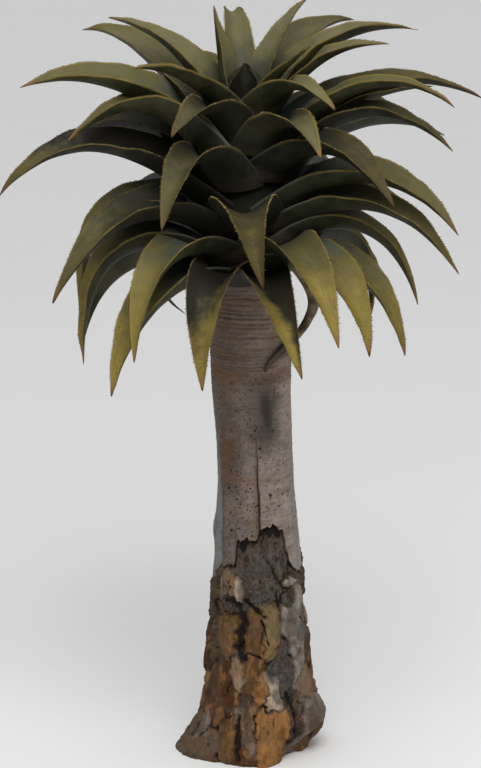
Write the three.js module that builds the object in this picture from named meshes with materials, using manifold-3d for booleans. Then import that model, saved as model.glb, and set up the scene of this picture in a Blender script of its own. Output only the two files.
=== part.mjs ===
// A young kokerboom (giant quiver tree): one thick unbranched trunk under one rosette of
// long, channelled, succulent leaves. Millimetres, +Z up. The origin is the middle of the flat
// cut under the trunk at ground level. An azimuth of 0 degrees is the front (-Y), +90 is +X.

import * as THREE from 'three';
import Module from 'manifold-3d';
import { mergeVertices } from 'three/addons/utils/BufferGeometryUtils.js';

// Clearance between pieces that touch on the plant.
const CLEARANCE = 0.35;

// The trunk's axis leans first right, then left: height and sideways place.
const TRUNK_LEAN = [
  [0, 0], [200, 6], [400, 4], [700, -2], [900, -12], [1200, -16], [1600, -28], [1670, -30],
];

// The trunk's radius by height: a flared foot, a waist, a bulge under the crown, the growing tip.
const TRUNK_RADIUS = [
  [0, 150], [35, 148], [70, 145], [110, 138], [150, 131], [200, 125], [260, 119], [340, 114],
  [420, 109], [540, 101], [660, 93], [760, 92], [880, 94], [1000, 98], [1100, 99], [1200, 97],
  [1300, 95], [1400, 88], [1500, 74], [1580, 52], [1640, 28], [1670, 10],
];
const TRUNK_SIDES = 36;

// The smooth skin of the neck ends below in a torn edge: azimuth and height. Under it the foot is
// bare cork, laid out in rows of points.
const SKIN_EDGE = [
  [-180, 500], [-150, 560], [-120, 470], [-95, 420], [-70, 447], [-55, 474],
  [-48, 480], [-31, 487], [-29, 544], [-15, 551], [-1, 555], [7, 575],
  [19, 584], [33, 579], [40, 574], [43, 536], [49, 495], [63, 451],
  [80, 470], [100, 540], [130, 480], [160, 560], [180, 500],
];
const CORK_ROWS = 23;
const CORK_TOP = 621;

// Plates of cork: azimuth, height, half width, half height, and how far each stands out.
const BARK_PLATES = [
  [-45, 427, 28, 34, 2], [-24, 419, 13, 27, 6], [-51, 377, 34, 17, -1], [47, 404, 22, 17, 4],
  [48, 447, 22, 7, 6], [15, 334, 22, 52, 4], [50, 296, 36, 86, 3], [-42, 318, 30, 46, 6],
  [-66, 287, 30, 62, 0], [-4, 318, 18, 56, 2], [-51, 169, 36, 76, 1], [-24, 232, 17, 36, 5],
  [-7, 233, 16, 34, 2], [1, 178, 17, 32, 8], [17, 166, 20, 40, 6], [30, 228, 26, 66, -4],
  [70, 181, 40, 37, 5], [67, 100, 46, 52, 3], [44, 94, 24, 60, -6], [13, 66, 36, 62, 7],
  [-29, 58, 24, 50, 2], [-68, 40, 62, 50, 3], [-17, 139, 16, 20, -3], [-31, 152, 15, 36, 2],
  [-56, 88, 14, 38, 1], [-3, 470, 46, 64, -8], [27, 520, 34, 46, -7], [62, 380, 24, 40, 2],
  [-5, 74, 14, 58, 4], [-21, 124, 13, 12, 5], [-173, 315, 35, 66, 4], [-170, 589, 42, 55, 4],
  [-162, 443, 46, 81, 2], [-151, 12, 39, 51, -3], [-148, 347, 23, 39, 5], [-145, 165, 35, 82, 5],
  [-144, 276, 26, 38, 0], [-144, 553, 27, 31, 2], [-131, 72, 25, 29, 0], [-125, 14, 21, 34, -5],
  [-120, 354, 40, 58, -2], [-119, 236, 22, 28, -5], [-118, 496, 38, 57, -1], [-107, 127, 45, 66, -1],
  [-103, 30, 21, 37, -1], [-93, 251, 35, 61, 6], [-81, 425, 47, 77, 3], [-78, 179, 21, 28, 1],
  [-13, 10, 20, 34, -3], [48, 9, 26, 31, 3], [82, 352, 25, 30, -4], [86, 6, 44, 71, 3],
  [89, 518, 45, 80, 5], [94, 243, 43, 58, 5], [102, 323, 25, 29, 3], [108, 597, 20, 38, -2],
  [118, 49, 20, 52, -2], [118, 436, 46, 63, -5], [119, 158, 37, 58, 3], [129, 296, 38, 55, 0],
  [137, 560, 47, 65, 4], [142, 234, 20, 28, 6], [149, 0, 43, 77, 0], [157, 432, 42, 75, -2],
  [160, 313, 25, 46, -4], [170, 160, 48, 77, -1], [179, 57, 34, 44, 6],
];

// Deep cracks in the cork: azimuth and height of both ends, and half width.
const BARK_CRACKS = [
  [-22, 372, -18, 266, 10], [-20, 118, -16, 12, 5], [34, 165, 46, 60, 5], [-38, 402, 6, 362, 6],
  [4, 357, 12, 292, 3], [26, 431, 26, 379, 4], [-140, 420, -136, 250, 5], [140, 380, 150, 200, 5],
  [100, 210, 104, 90, 4], [-100, 200, -92, 90, 4], [-178, 260, 176, 110, 5],
];
const CRACK_DEPTH = 8;

// Millimetres round the foot to a degree.
const ROUND = 2.1;

// Root swellings and hollows of the foot: where they lie round the trunk, how wide they are,
// at which height they are strongest, how far up they fade, and how far they stand out.
const FOOT_FORMS = [
  { azimuth: -80, spread: 36, height: 0, fade: 45, out: 42 },
  { azimuth: 2, spread: 22, height: 0, fade: 70, out: 18 },
  { azimuth: 45, spread: 24, height: 0, fade: 60, out: -48 },
  { azimuth: 88, spread: 30, height: 0, fade: 34, out: -26 },
  { azimuth: 82, spread: 32, height: 92, fade: 55, out: 24 },
  { azimuth: 150, spread: 30, height: 0, fade: 60, out: 30 },
  { azimuth: -140, spread: 30, height: 0, fade: 60, out: 26 },
];

// A leaf's blade: its channel's depth against its half width, the thickness of its keel at the
// base and at the tip, of its margins, its blunt end, how its width tapers, how many degrees a
// side leaf rolls its face to the front, how much of its length clasps the trunk, and how far
// the sheath of a level leaf runs down the trunk.
const CHANNEL = 0.4;
const KEEL_BASE = 18;
const KEEL_TIP = 7;
const MARGIN = 5;
const BLUNT_TIP = 3.5;
const TAPER = 1.35;
const SUNWARD = 3;
const CLASP = 0.3;
const SHEATH = 50;
const LEAF_SIDES = 6;
const LEAF_STEPS = 6;

// The leaves by tier, from the heart down. Each has its azimuth, the height of its base, the
// angle it rises at, how far its tip reaches from the trunk's axis, the tip's height, its width,
// how late it bends (1 is an even bend), how far its tip sways aside, and its twist in degrees.
const LEAF_TIERS = {
  heart: [
    [0, 1600, 78, 62, 1700, 60, 1, 0, 0],
    [130, 1612, 77, 188, 1824, 88, 1.01, -4, 4],
    [-111, 1617, 79, 76, 1822, 96, 1.1, 2, 3],
    [-168, 1608, 71, 326, 1748, 90, 1.21, -33, 5],
    [60, 1609, 55, 177, 1742, 65, 1.02, 0, 0],
  ],
  upper: [
    [-106, 1570, 65, 346, 1780, 128, 1.04, -29, -4],
    [-120, 1539, 44, 485, 1728, 170, 1.37, -49, -14],
    [-55, 1587, 46, 316, 1706, 116, 1.05, 3, 1],
    [-156, 1540, 48, 400, 1640, 120, 1, 0, 0],
    [139, 1596, 55, 395, 1752, 143, 1.03, -8, 9],
    [103, 1588, 57, 420, 1757, 139, 1.08, -2, 0],
    [82, 1574, 58, 337, 1741, 108, 1.15, 10, 14],
    [45, 1590, 49, 289, 1611, 114, 0.98, 1, 0],
  ],
  high: [
    [-29, 1540, 49, 318, 1560, 137, 1.03, -16, -3],
    [-71, 1469, 57, 435, 1524, 175, 1.09, -15, 7],
    [-82, 1503, 46, 532, 1640, 176, 1.17, 0, -9],
    [-104, 1501, 41, 329, 1561, 154, 1.02, 13, 1],
    [-159, 1525, 46, 489, 1638, 127, 1.01, -11, 3],
    [172, 1500, 48, 510, 1590, 140, 1, 0, 0],
    [132, 1496, 39, 486, 1530, 132, 0.95, -9, 6],
    [97, 1514, 40, 558, 1600, 141, 1.15, -22, 5],
    [80, 1500, 47, 494, 1601, 121, 1.32, -14, 0],
    [96, 1471, 48, 444, 1626, 107, 0.96, 10, -4],
    [32, 1510, 49, 320, 1514, 139, 1.03, 0, -1],
  ],
  middle: [
    [-33, 1430, 47, 371, 1355, 152, 1, 9, 0],
    [-80, 1387, 38, 590, 1391, 168, 1.25, -6, -16],
    [-112, 1419, 45, 520, 1441, 140, 1, -2, -4],
    [-140, 1450, 40, 515, 1470, 145, 1, 0, 0],
    [-175, 1432, 39, 518, 1450, 152, 1.15, -2, -1],
    [150, 1440, 44, 510, 1490, 145, 1, 0, 0],
    [118, 1429, 39, 557, 1470, 148, 0.99, 21, 1],
    [83, 1457, 49, 486, 1485, 137, 1.08, 31, 4],
    [51, 1456, 39, 427, 1395, 165, 0.93, 6, 3],
    [66, 1377, 33, 539, 1326, 170, 1.06, -18, 7],
  ],
  low: [
    [-4, 1344, 21, 522, 1261, 171, 1.5, 71, 3],
    [-62, 1328, 26, 510, 1166, 176, 0.89, -1, -6],
    [-89, 1327, 22, 397, 1101, 168, 1.09, 22, -6],
    [-129, 1343, 23, 491, 1212, 157, 0.94, -3, -8],
    [-164, 1340, 30, 510, 1230, 150, 1, 0, 0],
    [155, 1349, 29, 521, 1248, 152, 1.08, 3, -2],
    [123, 1344, 28, 521, 1217, 141, 0.85, -19, 13],
    [66, 1333, 27, 526, 1227, 159, 1.05, 19, 2],
  ],
  skirt: [
    [9, 1213, 9, 524, 1053, 128, 0.87, 24, -3],
    [-20, 1214, 19, 332, 976, 144, 0.93, -4, 3],
    [-45, 1269, 18, 392, 1038, 154, 0.85, 11, 4],
    [-53, 1220, 0, 394, 942, 176, 0.87, -11, -1],
    [-75, 1254, 21, 412, 995, 161, 1.02, 28, 3],
    [-109, 1232, 4, 403, 1007, 151, 1.13, 53, 8],
    [-142, 1250, 16, 400, 1010, 150, 1, 0, 0],
    [-174, 1240, 14, 410, 1040, 150, 1, 0, 0],
    [152, 1250, 16, 390, 1010, 150, 1, 0, 0],
    [125, 1259, 15, 405, 1053, 150, 0.86, 3, 14],
    [100, 1273, 17, 291, 1079, 152, 1.01, -25, 4],
    [77, 1299, 22, 405, 1125, 137, 0.94, 25, -7],
    [60, 1246, 9, 412, 1031, 139, 1.02, 15, 2],
    [42, 1241, 15, 406, 1054, 164, 1.03, 3, 3],
    [26, 1279, 16, 449, 1099, 154, 0.86, 7, -1],
  ],
};

// Two withered leaves that hang under the crown. Each leaves the trunk at an azimuth and a
// height, drops to its tip, swings round the trunk from a share of its length on, bows out from
// it on the way, and may end standing off it.
const DRY_LEAVES = {
  curl: {
    azimuth: 86, base: 1215, drop: 247, swing: -66, swingFrom: 0.55,
    bow: 42, bowEnd: 0.76, stand: 0, width: 34, thick: 25,
  },
  wisp: {
    azimuth: -95, base: 1195, drop: 110, swing: 0, swingFrom: 0.5,
    bow: 60, bowEnd: 1, stand: 55, width: 20, thick: 12,
  },
};
const DRY_SIDES = 6;
const DRY_STEPS = 12;

const BARK = new THREE.MeshStandardMaterial({ color: 0x9a8875, roughness: 0.9, metalness: 0 });
const YOUNG_LEAF = new THREE.MeshStandardMaterial({ color: 0x7d7a5c, roughness: 0.6, metalness: 0 });
const OLD_LEAF = new THREE.MeshStandardMaterial({ color: 0x6b6848, roughness: 0.6, metalness: 0 });
const DRY_LEAF = new THREE.MeshStandardMaterial({ color: 0x6e5238, roughness: 0.85, metalness: 0 });

const wasm = await Module();
wasm.setup();

function radians(degrees) {
  return THREE.MathUtils.degToRad(degrees);
}

// The value at a height on a line of [height, value] pairs, straight between them.
function along(pairs, height) {
  const last = pairs.length - 1;
  let i = 0;
  while (i < last - 1 && height > pairs[i + 1][0]) {
    i += 1;
  }
  const [low, from] = pairs[i];
  const [high, to] = pairs[i + 1];
  const share = THREE.MathUtils.clamp((height - low) / (high - low), 0, 1);
  return THREE.MathUtils.lerp(from, to, share);
}

function outward(azimuth) {
  return new THREE.Vector3(Math.sin(radians(azimuth)), -Math.cos(radians(azimuth)), 0);
}

function sideways(azimuth) {
  return new THREE.Vector3(Math.cos(radians(azimuth)), Math.sin(radians(azimuth)), 0);
}

function trunkAxis(height) {
  return new THREE.Vector3(along(TRUNK_LEAN, height), 0, height);
}

// The signed angle from one azimuth to another.
function turnFrom(azimuth, other) {
  return THREE.MathUtils.euclideanModulo(azimuth - other + 180, 360) - 180;
}

function trunkRadius(azimuth, height) {
  let radius = along(TRUNK_RADIUS, height);
  for (const form of FOOT_FORMS) {
    const round = Math.exp(-((turnFrom(azimuth, form.azimuth) / form.spread) ** 2));
    const up = Math.exp(-(((height - form.height) / form.fade) ** 2));
    radius += form.out * round * up;
  }
  return radius;
}

// How far the bark stands out: by the plate of cork whose middle is nearest, less what the deep
// cracks take. The smooth skin above the torn edge has no plates.
function barkLift(azimuth, height) {
  if (height > along(SKIN_EDGE, azimuth)) {
    return 0;
  }
  let lift = 0;
  let nearest = Infinity;
  for (const [middle, level, halfWidth, halfHeight, out] of BARK_PLATES) {
    const beside = turnFrom(azimuth, middle) * ROUND / halfWidth;
    const away = Math.hypot(beside, (height - level) / halfHeight);
    if (away < nearest) {
      nearest = away;
      lift = out;
    }
  }
  for (const [fromTurn, fromLevel, toTurn, toLevel, halfWidth] of BARK_CRACKS) {
    const start = new THREE.Vector3(0, 0, 0);
    const end = new THREE.Vector3(turnFrom(toTurn, fromTurn) * ROUND, toLevel - fromLevel, 0);
    const spot = new THREE.Vector3(turnFrom(azimuth, fromTurn) * ROUND, height - fromLevel, 0);
    const onCrack = new THREE.Line3(start, end).closestPointToPoint(spot, true, new THREE.Vector3());
    lift -= CRACK_DEPTH * Math.exp(-((spot.distanceTo(onCrack) / halfWidth) ** 2));
  }
  return lift;
}

// A closed rod of unit radius and length whose points are moved to where place() puts them.
// place() takes the angle round the rod, the share of its length, and 0 at a cap's middle.
function mouldedRod(sides, steps, place) {
  const rod = new THREE.CylinderGeometry(1, 1, 1, sides, steps);
  rod.deleteAttribute('normal');
  rod.deleteAttribute('uv');
  const points = rod.getAttribute('position');
  for (let i = 0; i < points.count; i += 1) {
    const rim = Math.round(Math.hypot(points.getX(i), points.getZ(i)));
    const angle = Math.atan2(points.getX(i), points.getZ(i));
    const spot = place(angle, points.getY(i) + 0.5, rim);
    points.setXYZ(i, spot.x, spot.y, spot.z);
  }
  return mergeVertices(rod, 1e-4);
}

function toSolid(geometry) {
  const vertProperties = new Float32Array(geometry.getAttribute('position').array);
  const triVerts = new Uint32Array(geometry.getIndex().array);
  return new wasm.Manifold(new wasm.Mesh({ numProp: 3, vertProperties, triVerts }));
}

function toGeometry(solid) {
  const mesh = solid.getMesh();
  const geometry = new THREE.BufferGeometry();
  geometry.setAttribute('position', new THREE.BufferAttribute(mesh.vertProperties, 3));
  geometry.setIndex(new THREE.BufferAttribute(mesh.triVerts, 1));
  return geometry;
}

// The heights of the trunk's rows of points: close together on the cork, wider above it.
function trunkLevels() {
  const cork = Array.from({ length: CORK_ROWS + 1 }, (_, row) => CORK_TOP * row / CORK_ROWS);
  const plain = TRUNK_RADIUS.map(([height]) => height).filter((height) => height > CORK_TOP);
  return [...cork, ...plain];
}

// The trunk from the cut at the ground to the growing tip, or the same grown by a clearance.
function trunkGeometry(grow) {
  const levels = trunkLevels();
  const steps = levels.length - 1;
  return mouldedRod(TRUNK_SIDES, steps, (angle, share, rim) => {
    const level = Math.round(share * steps);
    const height = levels[level] + (level === steps ? grow : 0);
    const azimuth = THREE.MathUtils.radToDeg(angle);
    const bark = trunkRadius(azimuth, levels[level]) + barkLift(azimuth, levels[level]);
    return trunkAxis(height).addScaledVector(outward(azimuth), rim * (bark + grow));
  });
}

// The midrib of a leaf in the upright plane of its azimuth, as distance from the axis and
// height: a bend that leaves the trunk at the leaf's rise and ends at its tip.
function midrib([, base, rise, reach, tip, , late]) {
  const start = new THREE.Vector2(along(TRUNK_RADIUS, base), base);
  const end = new THREE.Vector2(reach, tip);
  const heading = new THREE.Vector2(Math.cos(radians(rise)), Math.sin(radians(rise)));
  const chord = end.clone().sub(start);
  const forward = Math.max(chord.dot(heading), 0.6 * chord.length());
  const arm = late * chord.lengthSq() / (2 * forward);
  return new THREE.QuadraticBezierCurve(start, start.clone().addScaledVector(heading, arm), end);
}

// A leaf: a thick keel and two lifted margins about the midrib, widest at the clasping base.
function leafGeometry(leaf, grow) {
  const [azimuth, base, rise, , , width, , sway, twist] = leaf;
  const level = Math.cos(radians(rise)) ** 2;
  const roll = Math.sin(radians(SUNWARD)) * Math.sin(radians(azimuth));
  const curve = midrib(leaf);
  const length = curve.getLength();
  const out = outward(azimuth);
  const side = sideways(azimuth);
  const up = new THREE.Vector3(0, 0, 1);
  const axis = trunkAxis(base).setZ(0);
  return mouldedRod(LEAF_SIDES, LEAF_STEPS, (angle, share, rim) => {
    const spot = curve.getPointAt(share);
    const heading = curve.getTangentAt(share);
    const ending = (share === 1 ? grow : 0) - (share === 0 ? grow : 0);
    spot.addScaledVector(heading, ending);
    const clasp = Math.max(0, 1 - share / CLASP) ** 2;
    const halfWidth = Math.max(0.5 * width * (1 - share ** TAPER), BLUNT_TIP);
    const keel = THREE.MathUtils.lerp(KEEL_BASE, KEEL_TIP, share) * Math.min(1, length / 400);
    const lateral = rim * Math.sin(angle) / Math.sin(radians(60));
    const onEdge = Math.abs(lateral) > 0.5;
    const below = Math.cos(angle) > 0 ? 1 : 0;
    const lift = rim * (onEdge ? CHANNEL * halfWidth * (1 - clasp) : 0);
    const thick = rim === 0 ? 0.5 * keel : below * (onEdge ? MARGIN : Math.max(keel, MARGIN));
    const growth = rim * grow * (below ? -1 : 1);
    const across = lateral * (halfWidth + grow);
    const hug = Math.max(spot.x, halfWidth);
    const bend = across / hug;
    const inward = clasp * hug * (Math.cos(bend) - 1);
    const wrapped = across + clasp * (hug * Math.sin(bend) - across);
    const tilt = roll * (1 - clasp) + Math.sin(radians(twist)) * Math.sqrt(share);
    const raise = lift - thick + growth + tilt * across;
    const radial = spot.x + inward - raise * heading.y;
    const sheath = below * rim * clasp * SHEATH * level;
    const height = spot.y + raise * heading.x - sheath;
    return axis.clone()
      .addScaledVector(out, radial)
      .addScaledVector(side, wrapped + sway * share ** 2)
      .addScaledVector(up, height);
  });
}

// A withered leaf: a narrow strip that hangs, bowed out from the trunk.
function dryGeometry(leaf, grow) {
  return mouldedRod(DRY_SIDES, DRY_STEPS, (angle, share, rim) => {
    const height = leaf.base - leaf.drop * share + grow * (share === 0 ? 1 : share === 1 ? -1 : 0);
    const swinging = THREE.MathUtils.smoothstep(share, leaf.swingFrom, 1);
    const azimuth = leaf.azimuth + leaf.swing * swinging;
    const bow = leaf.bow * Math.sin(Math.PI * Math.min(share / leaf.bowEnd, 1));
    const taper = 1 - 0.75 * share ** 2;
    const off = 0.5 * leaf.thick * taper + CLEARANCE + leaf.stand * share + bow;
    const across = rim * -Math.sin(angle) * (0.5 * leaf.width * taper + grow);
    const depth = rim * Math.cos(angle) * (0.5 * leaf.thick * taper + grow);
    const radius = along(TRUNK_RADIUS, height) + off + depth;
    return trunkAxis(height)
      .addScaledVector(outward(azimuth), radius)
      .addScaledVector(sideways(azimuth), across);
  });
}

function boxOf(solid) {
  const { min, max } = solid.boundingBox();
  return new THREE.Box3(new THREE.Vector3(...min), new THREE.Vector3(...max));
}

// Takes from a body what its neighbours, grown by the clearance, already fill, and keeps the
// largest of what is left.
function clearOf(body, neighbours) {
  const box = boxOf(body);
  let rest = body;
  for (const neighbour of neighbours) {
    if (box.intersectsBox(boxOf(neighbour))) {
      rest = rest.subtract(neighbour);
    }
  }
  const pieces = rest.decompose();
  pieces.sort((a, b) => b.volume() - a.volume());
  return pieces[0];
}

const group = new THREE.Group();

function addPiece(name, geometry, material) {
  const mesh = new THREE.Mesh(geometry, material);
  mesh.name = name;
  group.add(mesh);
}

addPiece('trunk', trunkGeometry(0), BARK);

const taken = [toSolid(trunkGeometry(CLEARANCE))];

for (const [tier, leaves] of Object.entries(LEAF_TIERS)) {
  const material = tier === 'heart' || tier === 'upper' ? YOUNG_LEAF : OLD_LEAF;
  leaves.forEach((leaf, index) => {
    const body = clearOf(toSolid(leafGeometry(leaf, 0)), taken);
    taken.push(toSolid(leafGeometry(leaf, CLEARANCE)));
    addPiece(`leaf_${tier}_${index + 1}`, toGeometry(body), material);
  });
}

for (const [name, leaf] of Object.entries(DRY_LEAVES)) {
  const body = clearOf(toSolid(dryGeometry(leaf, 0)), taken);
  taken.push(toSolid(dryGeometry(leaf, CLEARANCE)));
  addPiece(`dry_${name}`, toGeometry(body), DRY_LEAF);
}

export default group;
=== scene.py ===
# %% [markdown]
# # A young kokerboom
# The kokerboom, or quiver tree, is a tree aloe. This one is young: a single trunk with a ragged,
# flaking foot, a smooth ringed neck, and one rosette of long, channelled, toothed leaves.
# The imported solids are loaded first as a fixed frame. Each one is then replaced by a finer
# piece that follows the same rule, in the same place.

# %% Load the frame
import math
from functools import partial
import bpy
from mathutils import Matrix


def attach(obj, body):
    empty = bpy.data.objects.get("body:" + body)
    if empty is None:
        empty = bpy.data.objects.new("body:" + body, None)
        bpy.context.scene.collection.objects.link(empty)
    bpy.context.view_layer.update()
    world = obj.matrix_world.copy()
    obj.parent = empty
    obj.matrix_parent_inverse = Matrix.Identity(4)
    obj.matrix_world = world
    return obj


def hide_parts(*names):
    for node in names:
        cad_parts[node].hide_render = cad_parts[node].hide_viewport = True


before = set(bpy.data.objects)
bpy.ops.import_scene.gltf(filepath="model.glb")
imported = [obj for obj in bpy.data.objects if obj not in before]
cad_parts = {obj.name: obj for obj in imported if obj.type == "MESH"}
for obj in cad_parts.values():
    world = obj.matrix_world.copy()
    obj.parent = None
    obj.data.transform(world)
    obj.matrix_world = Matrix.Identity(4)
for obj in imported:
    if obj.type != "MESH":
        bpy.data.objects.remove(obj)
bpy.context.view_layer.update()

from types import SimpleNamespace

import bpy
import numpy as np

MM = 0.001

# %% [markdown]
# ## The viewpoint
# A tree is best seen from a little above with a long lens, so that the trunk stays straight.
# The camera stands eight metres away, fourteen degrees above the middle of the plant.

# %% Camera
VIEW_HEIGHT = 14  # degrees above level
FIELD = 13  # degrees from the bottom to the top of the picture
HALF_SEEN = 0.0024 * 384  # metres seen above the aim, and as many below it
AIM = np.array([-0.038, 0.0, 0.915])
scene = bpy.context.scene


def placed(name, data):
    """A new object in the scene."""
    made = bpy.data.objects.new(name, data)
    scene.collection.objects.link(made)
    return made


tilt = math.radians(VIEW_HEIGHT)
distance = HALF_SEEN / math.tan(math.radians(FIELD / 2))
camera_data = bpy.data.cameras.new("tree_camera")
camera_data.sensor_fit = "VERTICAL"
camera_data.angle = math.radians(FIELD)
camera_data.clip_end = 200
camera = placed("tree_camera", camera_data)
camera.location = AIM + distance * np.array([0, -math.cos(tilt), math.sin(tilt)])
camera.rotation_euler = (math.pi / 2 - tilt, 0, 0)
scene.camera = camera
print("camera", [round(v, 3) for v in camera.location], "lens", round(camera_data.lens, 1))

# %% [markdown]
# ## Node helpers
# Geometry and material trees are both graphs of nodes. These short helpers add a node, set its
# options and feed its inputs, so that each tree below reads as a list of steps.

# %% Node helpers
def add(tree, kind, inputs=None, **options):
    """A new node in a tree. Inputs are other nodes' sockets, which are linked, or plain values."""
    made = tree.nodes.new(kind)
    for name, value in options.items():
        setattr(made, name, value)
    for name, value in (inputs or {}).items():
        if isinstance(value, bpy.types.NodeSocket):
            tree.links.new(value, made.inputs[name])
        else:
            made.inputs[name].default_value = value
    return made


def sum_of(tree, kind, *values, clamp=False):
    """A Math node's result for one to three values."""
    made = add(tree, "ShaderNodeMath", dict(enumerate(values)), operation=kind, use_clamp=clamp)
    return made.outputs[0]


def short_sums(tree):
    """A tree's most used sums: times, plus, less, and the first times the second plus the third."""
    return [partial(sum_of, tree, kind) for kind in ("MULTIPLY", "ADD", "SUBTRACT", "MULTIPLY_ADD")]


def vector_sum(tree, kind, first, second):
    """A Vector Math node's result. A scaled vector takes its second value as a plain number."""
    place = "Scale" if kind == "SCALE" else 1
    made = add(tree, "ShaderNodeVectorMath", {0: first, place: second}, operation=kind)
    return made.outputs["Value" if kind == "DOT_PRODUCT" else "Vector"]


def ramp(tree, value, low, high, start=0.0, end=1.0):
    """A value eased from start to end while it goes from low to high."""
    span = {"Value": value, "From Min": low, "From Max": high, "To Min": start, "To Max": end}
    made = add(tree, "ShaderNodeMapRange", span, interpolation_type="SMOOTHSTEP")
    return made.outputs["Result"]


print("node helpers ready")

# %% [markdown]
# ## Clouds of chance
# Bark, stains and ragged edges all need soft chance that runs on without a seam round the
# trunk. A lattice of seeded numbers, blended smoothly in space, gives that: the same point
# always has the same value, on every run.

# %% Seeded clouds
LATTICE = 32
LAYER_SEED = 31
LAYER_FADE = 0.55
CONTRAST = 1.6


def cloud(points, grain, seed, layers=1):
    """Smooth chance around 0 at points in millimetres, with lumps of about one grain."""
    total = np.zeros(points.shape[:-1])
    strength = 1.0
    weight = 0.0
    for layer in range(layers):
        table = np.random.default_rng(seed + LAYER_SEED * layer).uniform(-1, 1, (LATTICE,) * 3)
        place = points / (grain * 0.5**layer)
        cell = np.floor(place).astype(int)
        blend = place - cell
        blend = blend * blend * (3 - 2 * blend)
        value = np.zeros_like(total)
        for corner in np.ndindex(2, 2, 2):
            step = np.array(corner)
            share = np.prod(np.where(step == 1, blend, 1 - blend), axis=-1)
            i, j, k = np.moveaxis((cell + step) % LATTICE, -1, 0)
            value += share * table[i, j, k]
        total += strength * value
        weight += strength
        strength *= LAYER_FADE
    return total / weight * CONTRAST


print("cloud at the origin:", round(float(cloud(np.zeros((1, 3)), 20, 1)[0]), 3))

# %% Soft steps and tones
def ease(value, low, high):
    """From 0 below low to 1 above high, with a soft start and end."""
    share = np.clip((value - low) / (high - low), 0, 1)
    return share * share * (3 - 2 * share)


def fade_out(value, start, end):
    """From 1 below the start to 0 above the end."""
    return ease(-value, -end, -start)


def hump(value, spread, power=2):
    """1 where the value is 0, and nearly gone two spreads away. A high power gives a flat top."""
    return np.exp(-((value / spread) ** power))


def tinted(tone, share, target):
    """Tones mixed towards a target tone, by a share for each point."""
    return tone + np.clip(share, 0, 1)[..., None] * (np.array(target) - tone)


print("half way up a step:", float(ease(0.5, 0, 1)))

# %% [markdown]
# ## The trunk's rule
# The trunk is a leaning, tapering stem: a flared foot with root swellings, a waist, and a bulge
# under the crown. Radius and lean are given at a few heights, as a turner would mark them, and
# a moving average rounds the line between them.

# %% Trunk sizes
TRUNK_LEAN = [
    (0, 0), (200, 6), (400, 4), (700, -2), (900, -12), (1200, -16), (1600, -28), (1670, -30),
]
TRUNK_RADIUS = [
    (0, 150), (35, 148), (70, 145), (110, 138), (150, 131), (200, 125), (260, 119), (340, 114),
    (420, 109), (540, 101), (660, 93), (760, 92), (880, 94), (1000, 98), (1100, 99), (1200, 97),
    (1300, 95), (1400, 88), (1500, 74), (1580, 52), (1640, 28), (1670, 10),
]
# Azimuth, spread round the trunk, height, fade with height, and how far each swelling stands out.
FOOT_FORMS = [
    (-80, 36, 0, 45, 42), (2, 22, 0, 70, 18), (45, 24, 0, 60, -48), (88, 30, 0, 34, -26),
    (82, 32, 92, 55, 24), (150, 30, 0, 60, 30), (-140, 30, 0, 60, 26),
]
LINE_STEP = 4.0
LINE_BLUR = 24


def even_line(pairs, heights):
    """The value at each height on a line of (height, value) pairs, with its corners rounded."""
    fine = np.arange(-100, 1800, LINE_STEP)
    reach = int(LINE_BLUR / LINE_STEP)
    bell = np.exp(-np.linspace(-2, 2, 2 * reach + 1) ** 2)
    line = np.interp(fine, *zip(*pairs))
    line = np.convolve(np.pad(line, reach, mode="edge"), bell / bell.sum(), "valid")
    return np.interp(heights, fine, line)


def turn_from(azimuth, other):
    """The signed angle between two azimuths in degrees."""
    return (azimuth - other + 180) % 360 - 180


def trunk_radius(azimuth, height):
    """The trunk's plain radius in millimetres, with its root swellings."""
    radius = even_line(TRUNK_RADIUS, height)
    for where, spread, level, fade, out in FOOT_FORMS:
        radius = radius + out * hump(turn_from(azimuth, where), spread) * hump(height - level, fade)
    return radius


def outward(azimuth):
    """The level direction away from the trunk. Azimuth 0 faces the camera."""
    angle = np.radians(azimuth)
    return np.stack([np.sin(angle), -np.cos(angle), np.zeros_like(angle)], axis=-1)


def sideways(azimuth):
    """The level direction along the trunk's surface."""
    angle = np.radians(azimuth)
    return np.stack([np.cos(angle), np.sin(angle), np.zeros_like(angle)], axis=-1)


def on_trunk(azimuth, height, radius):
    """Points at these azimuths, heights and distances from the leaning axis, in millimetres."""
    axis = np.stack([even_line(TRUNK_LEAN, height), np.zeros_like(height), height], axis=-1)
    return axis + outward(azimuth) * np.asarray(radius)[..., None]


knee = float(trunk_radius(np.array(0.0), np.array(500.0)))
print("trunk radius at knee height:", round(knee, 1), "mm")

# %% [markdown]
# ## A skin of rows
# Both layers of the trunk are grids that close on themselves: rows of points that go round, from
# the bottom up, with a fan of faces on each end. The grid also gives an even map for painting.

# %% Faces and map of a skin of rows
SHEET_SIZE, SHEET_FROM = (0.99, 0.875), (0.005, 0.12)
DISC_SIZE = 0.05
FLOOR_DISC, TOP_DISC = (0.07, 0.055), (0.2, 0.055)


def row_faces(tall, wide):
    """Faces between rows of points that go round, then a fan on the bottom and one on the top."""
    column = np.arange(wide)
    after = (column + 1) % wide
    low = (np.arange(tall - 1) * wide)[:, None]
    quads = np.stack([low + column, low + after, low + wide + after, low + wide + column], axis=-1)
    last = (tall - 1) * wide
    floor_fan = np.stack([after, column, np.full(wide, tall * wide)], axis=-1)
    top_fan = np.stack([last + column, last + after, np.full(wide, tall * wide + 1)], axis=-1)
    return quads.reshape(-1, 4).tolist() + floor_fan.tolist() + top_fan.tolist()


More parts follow.
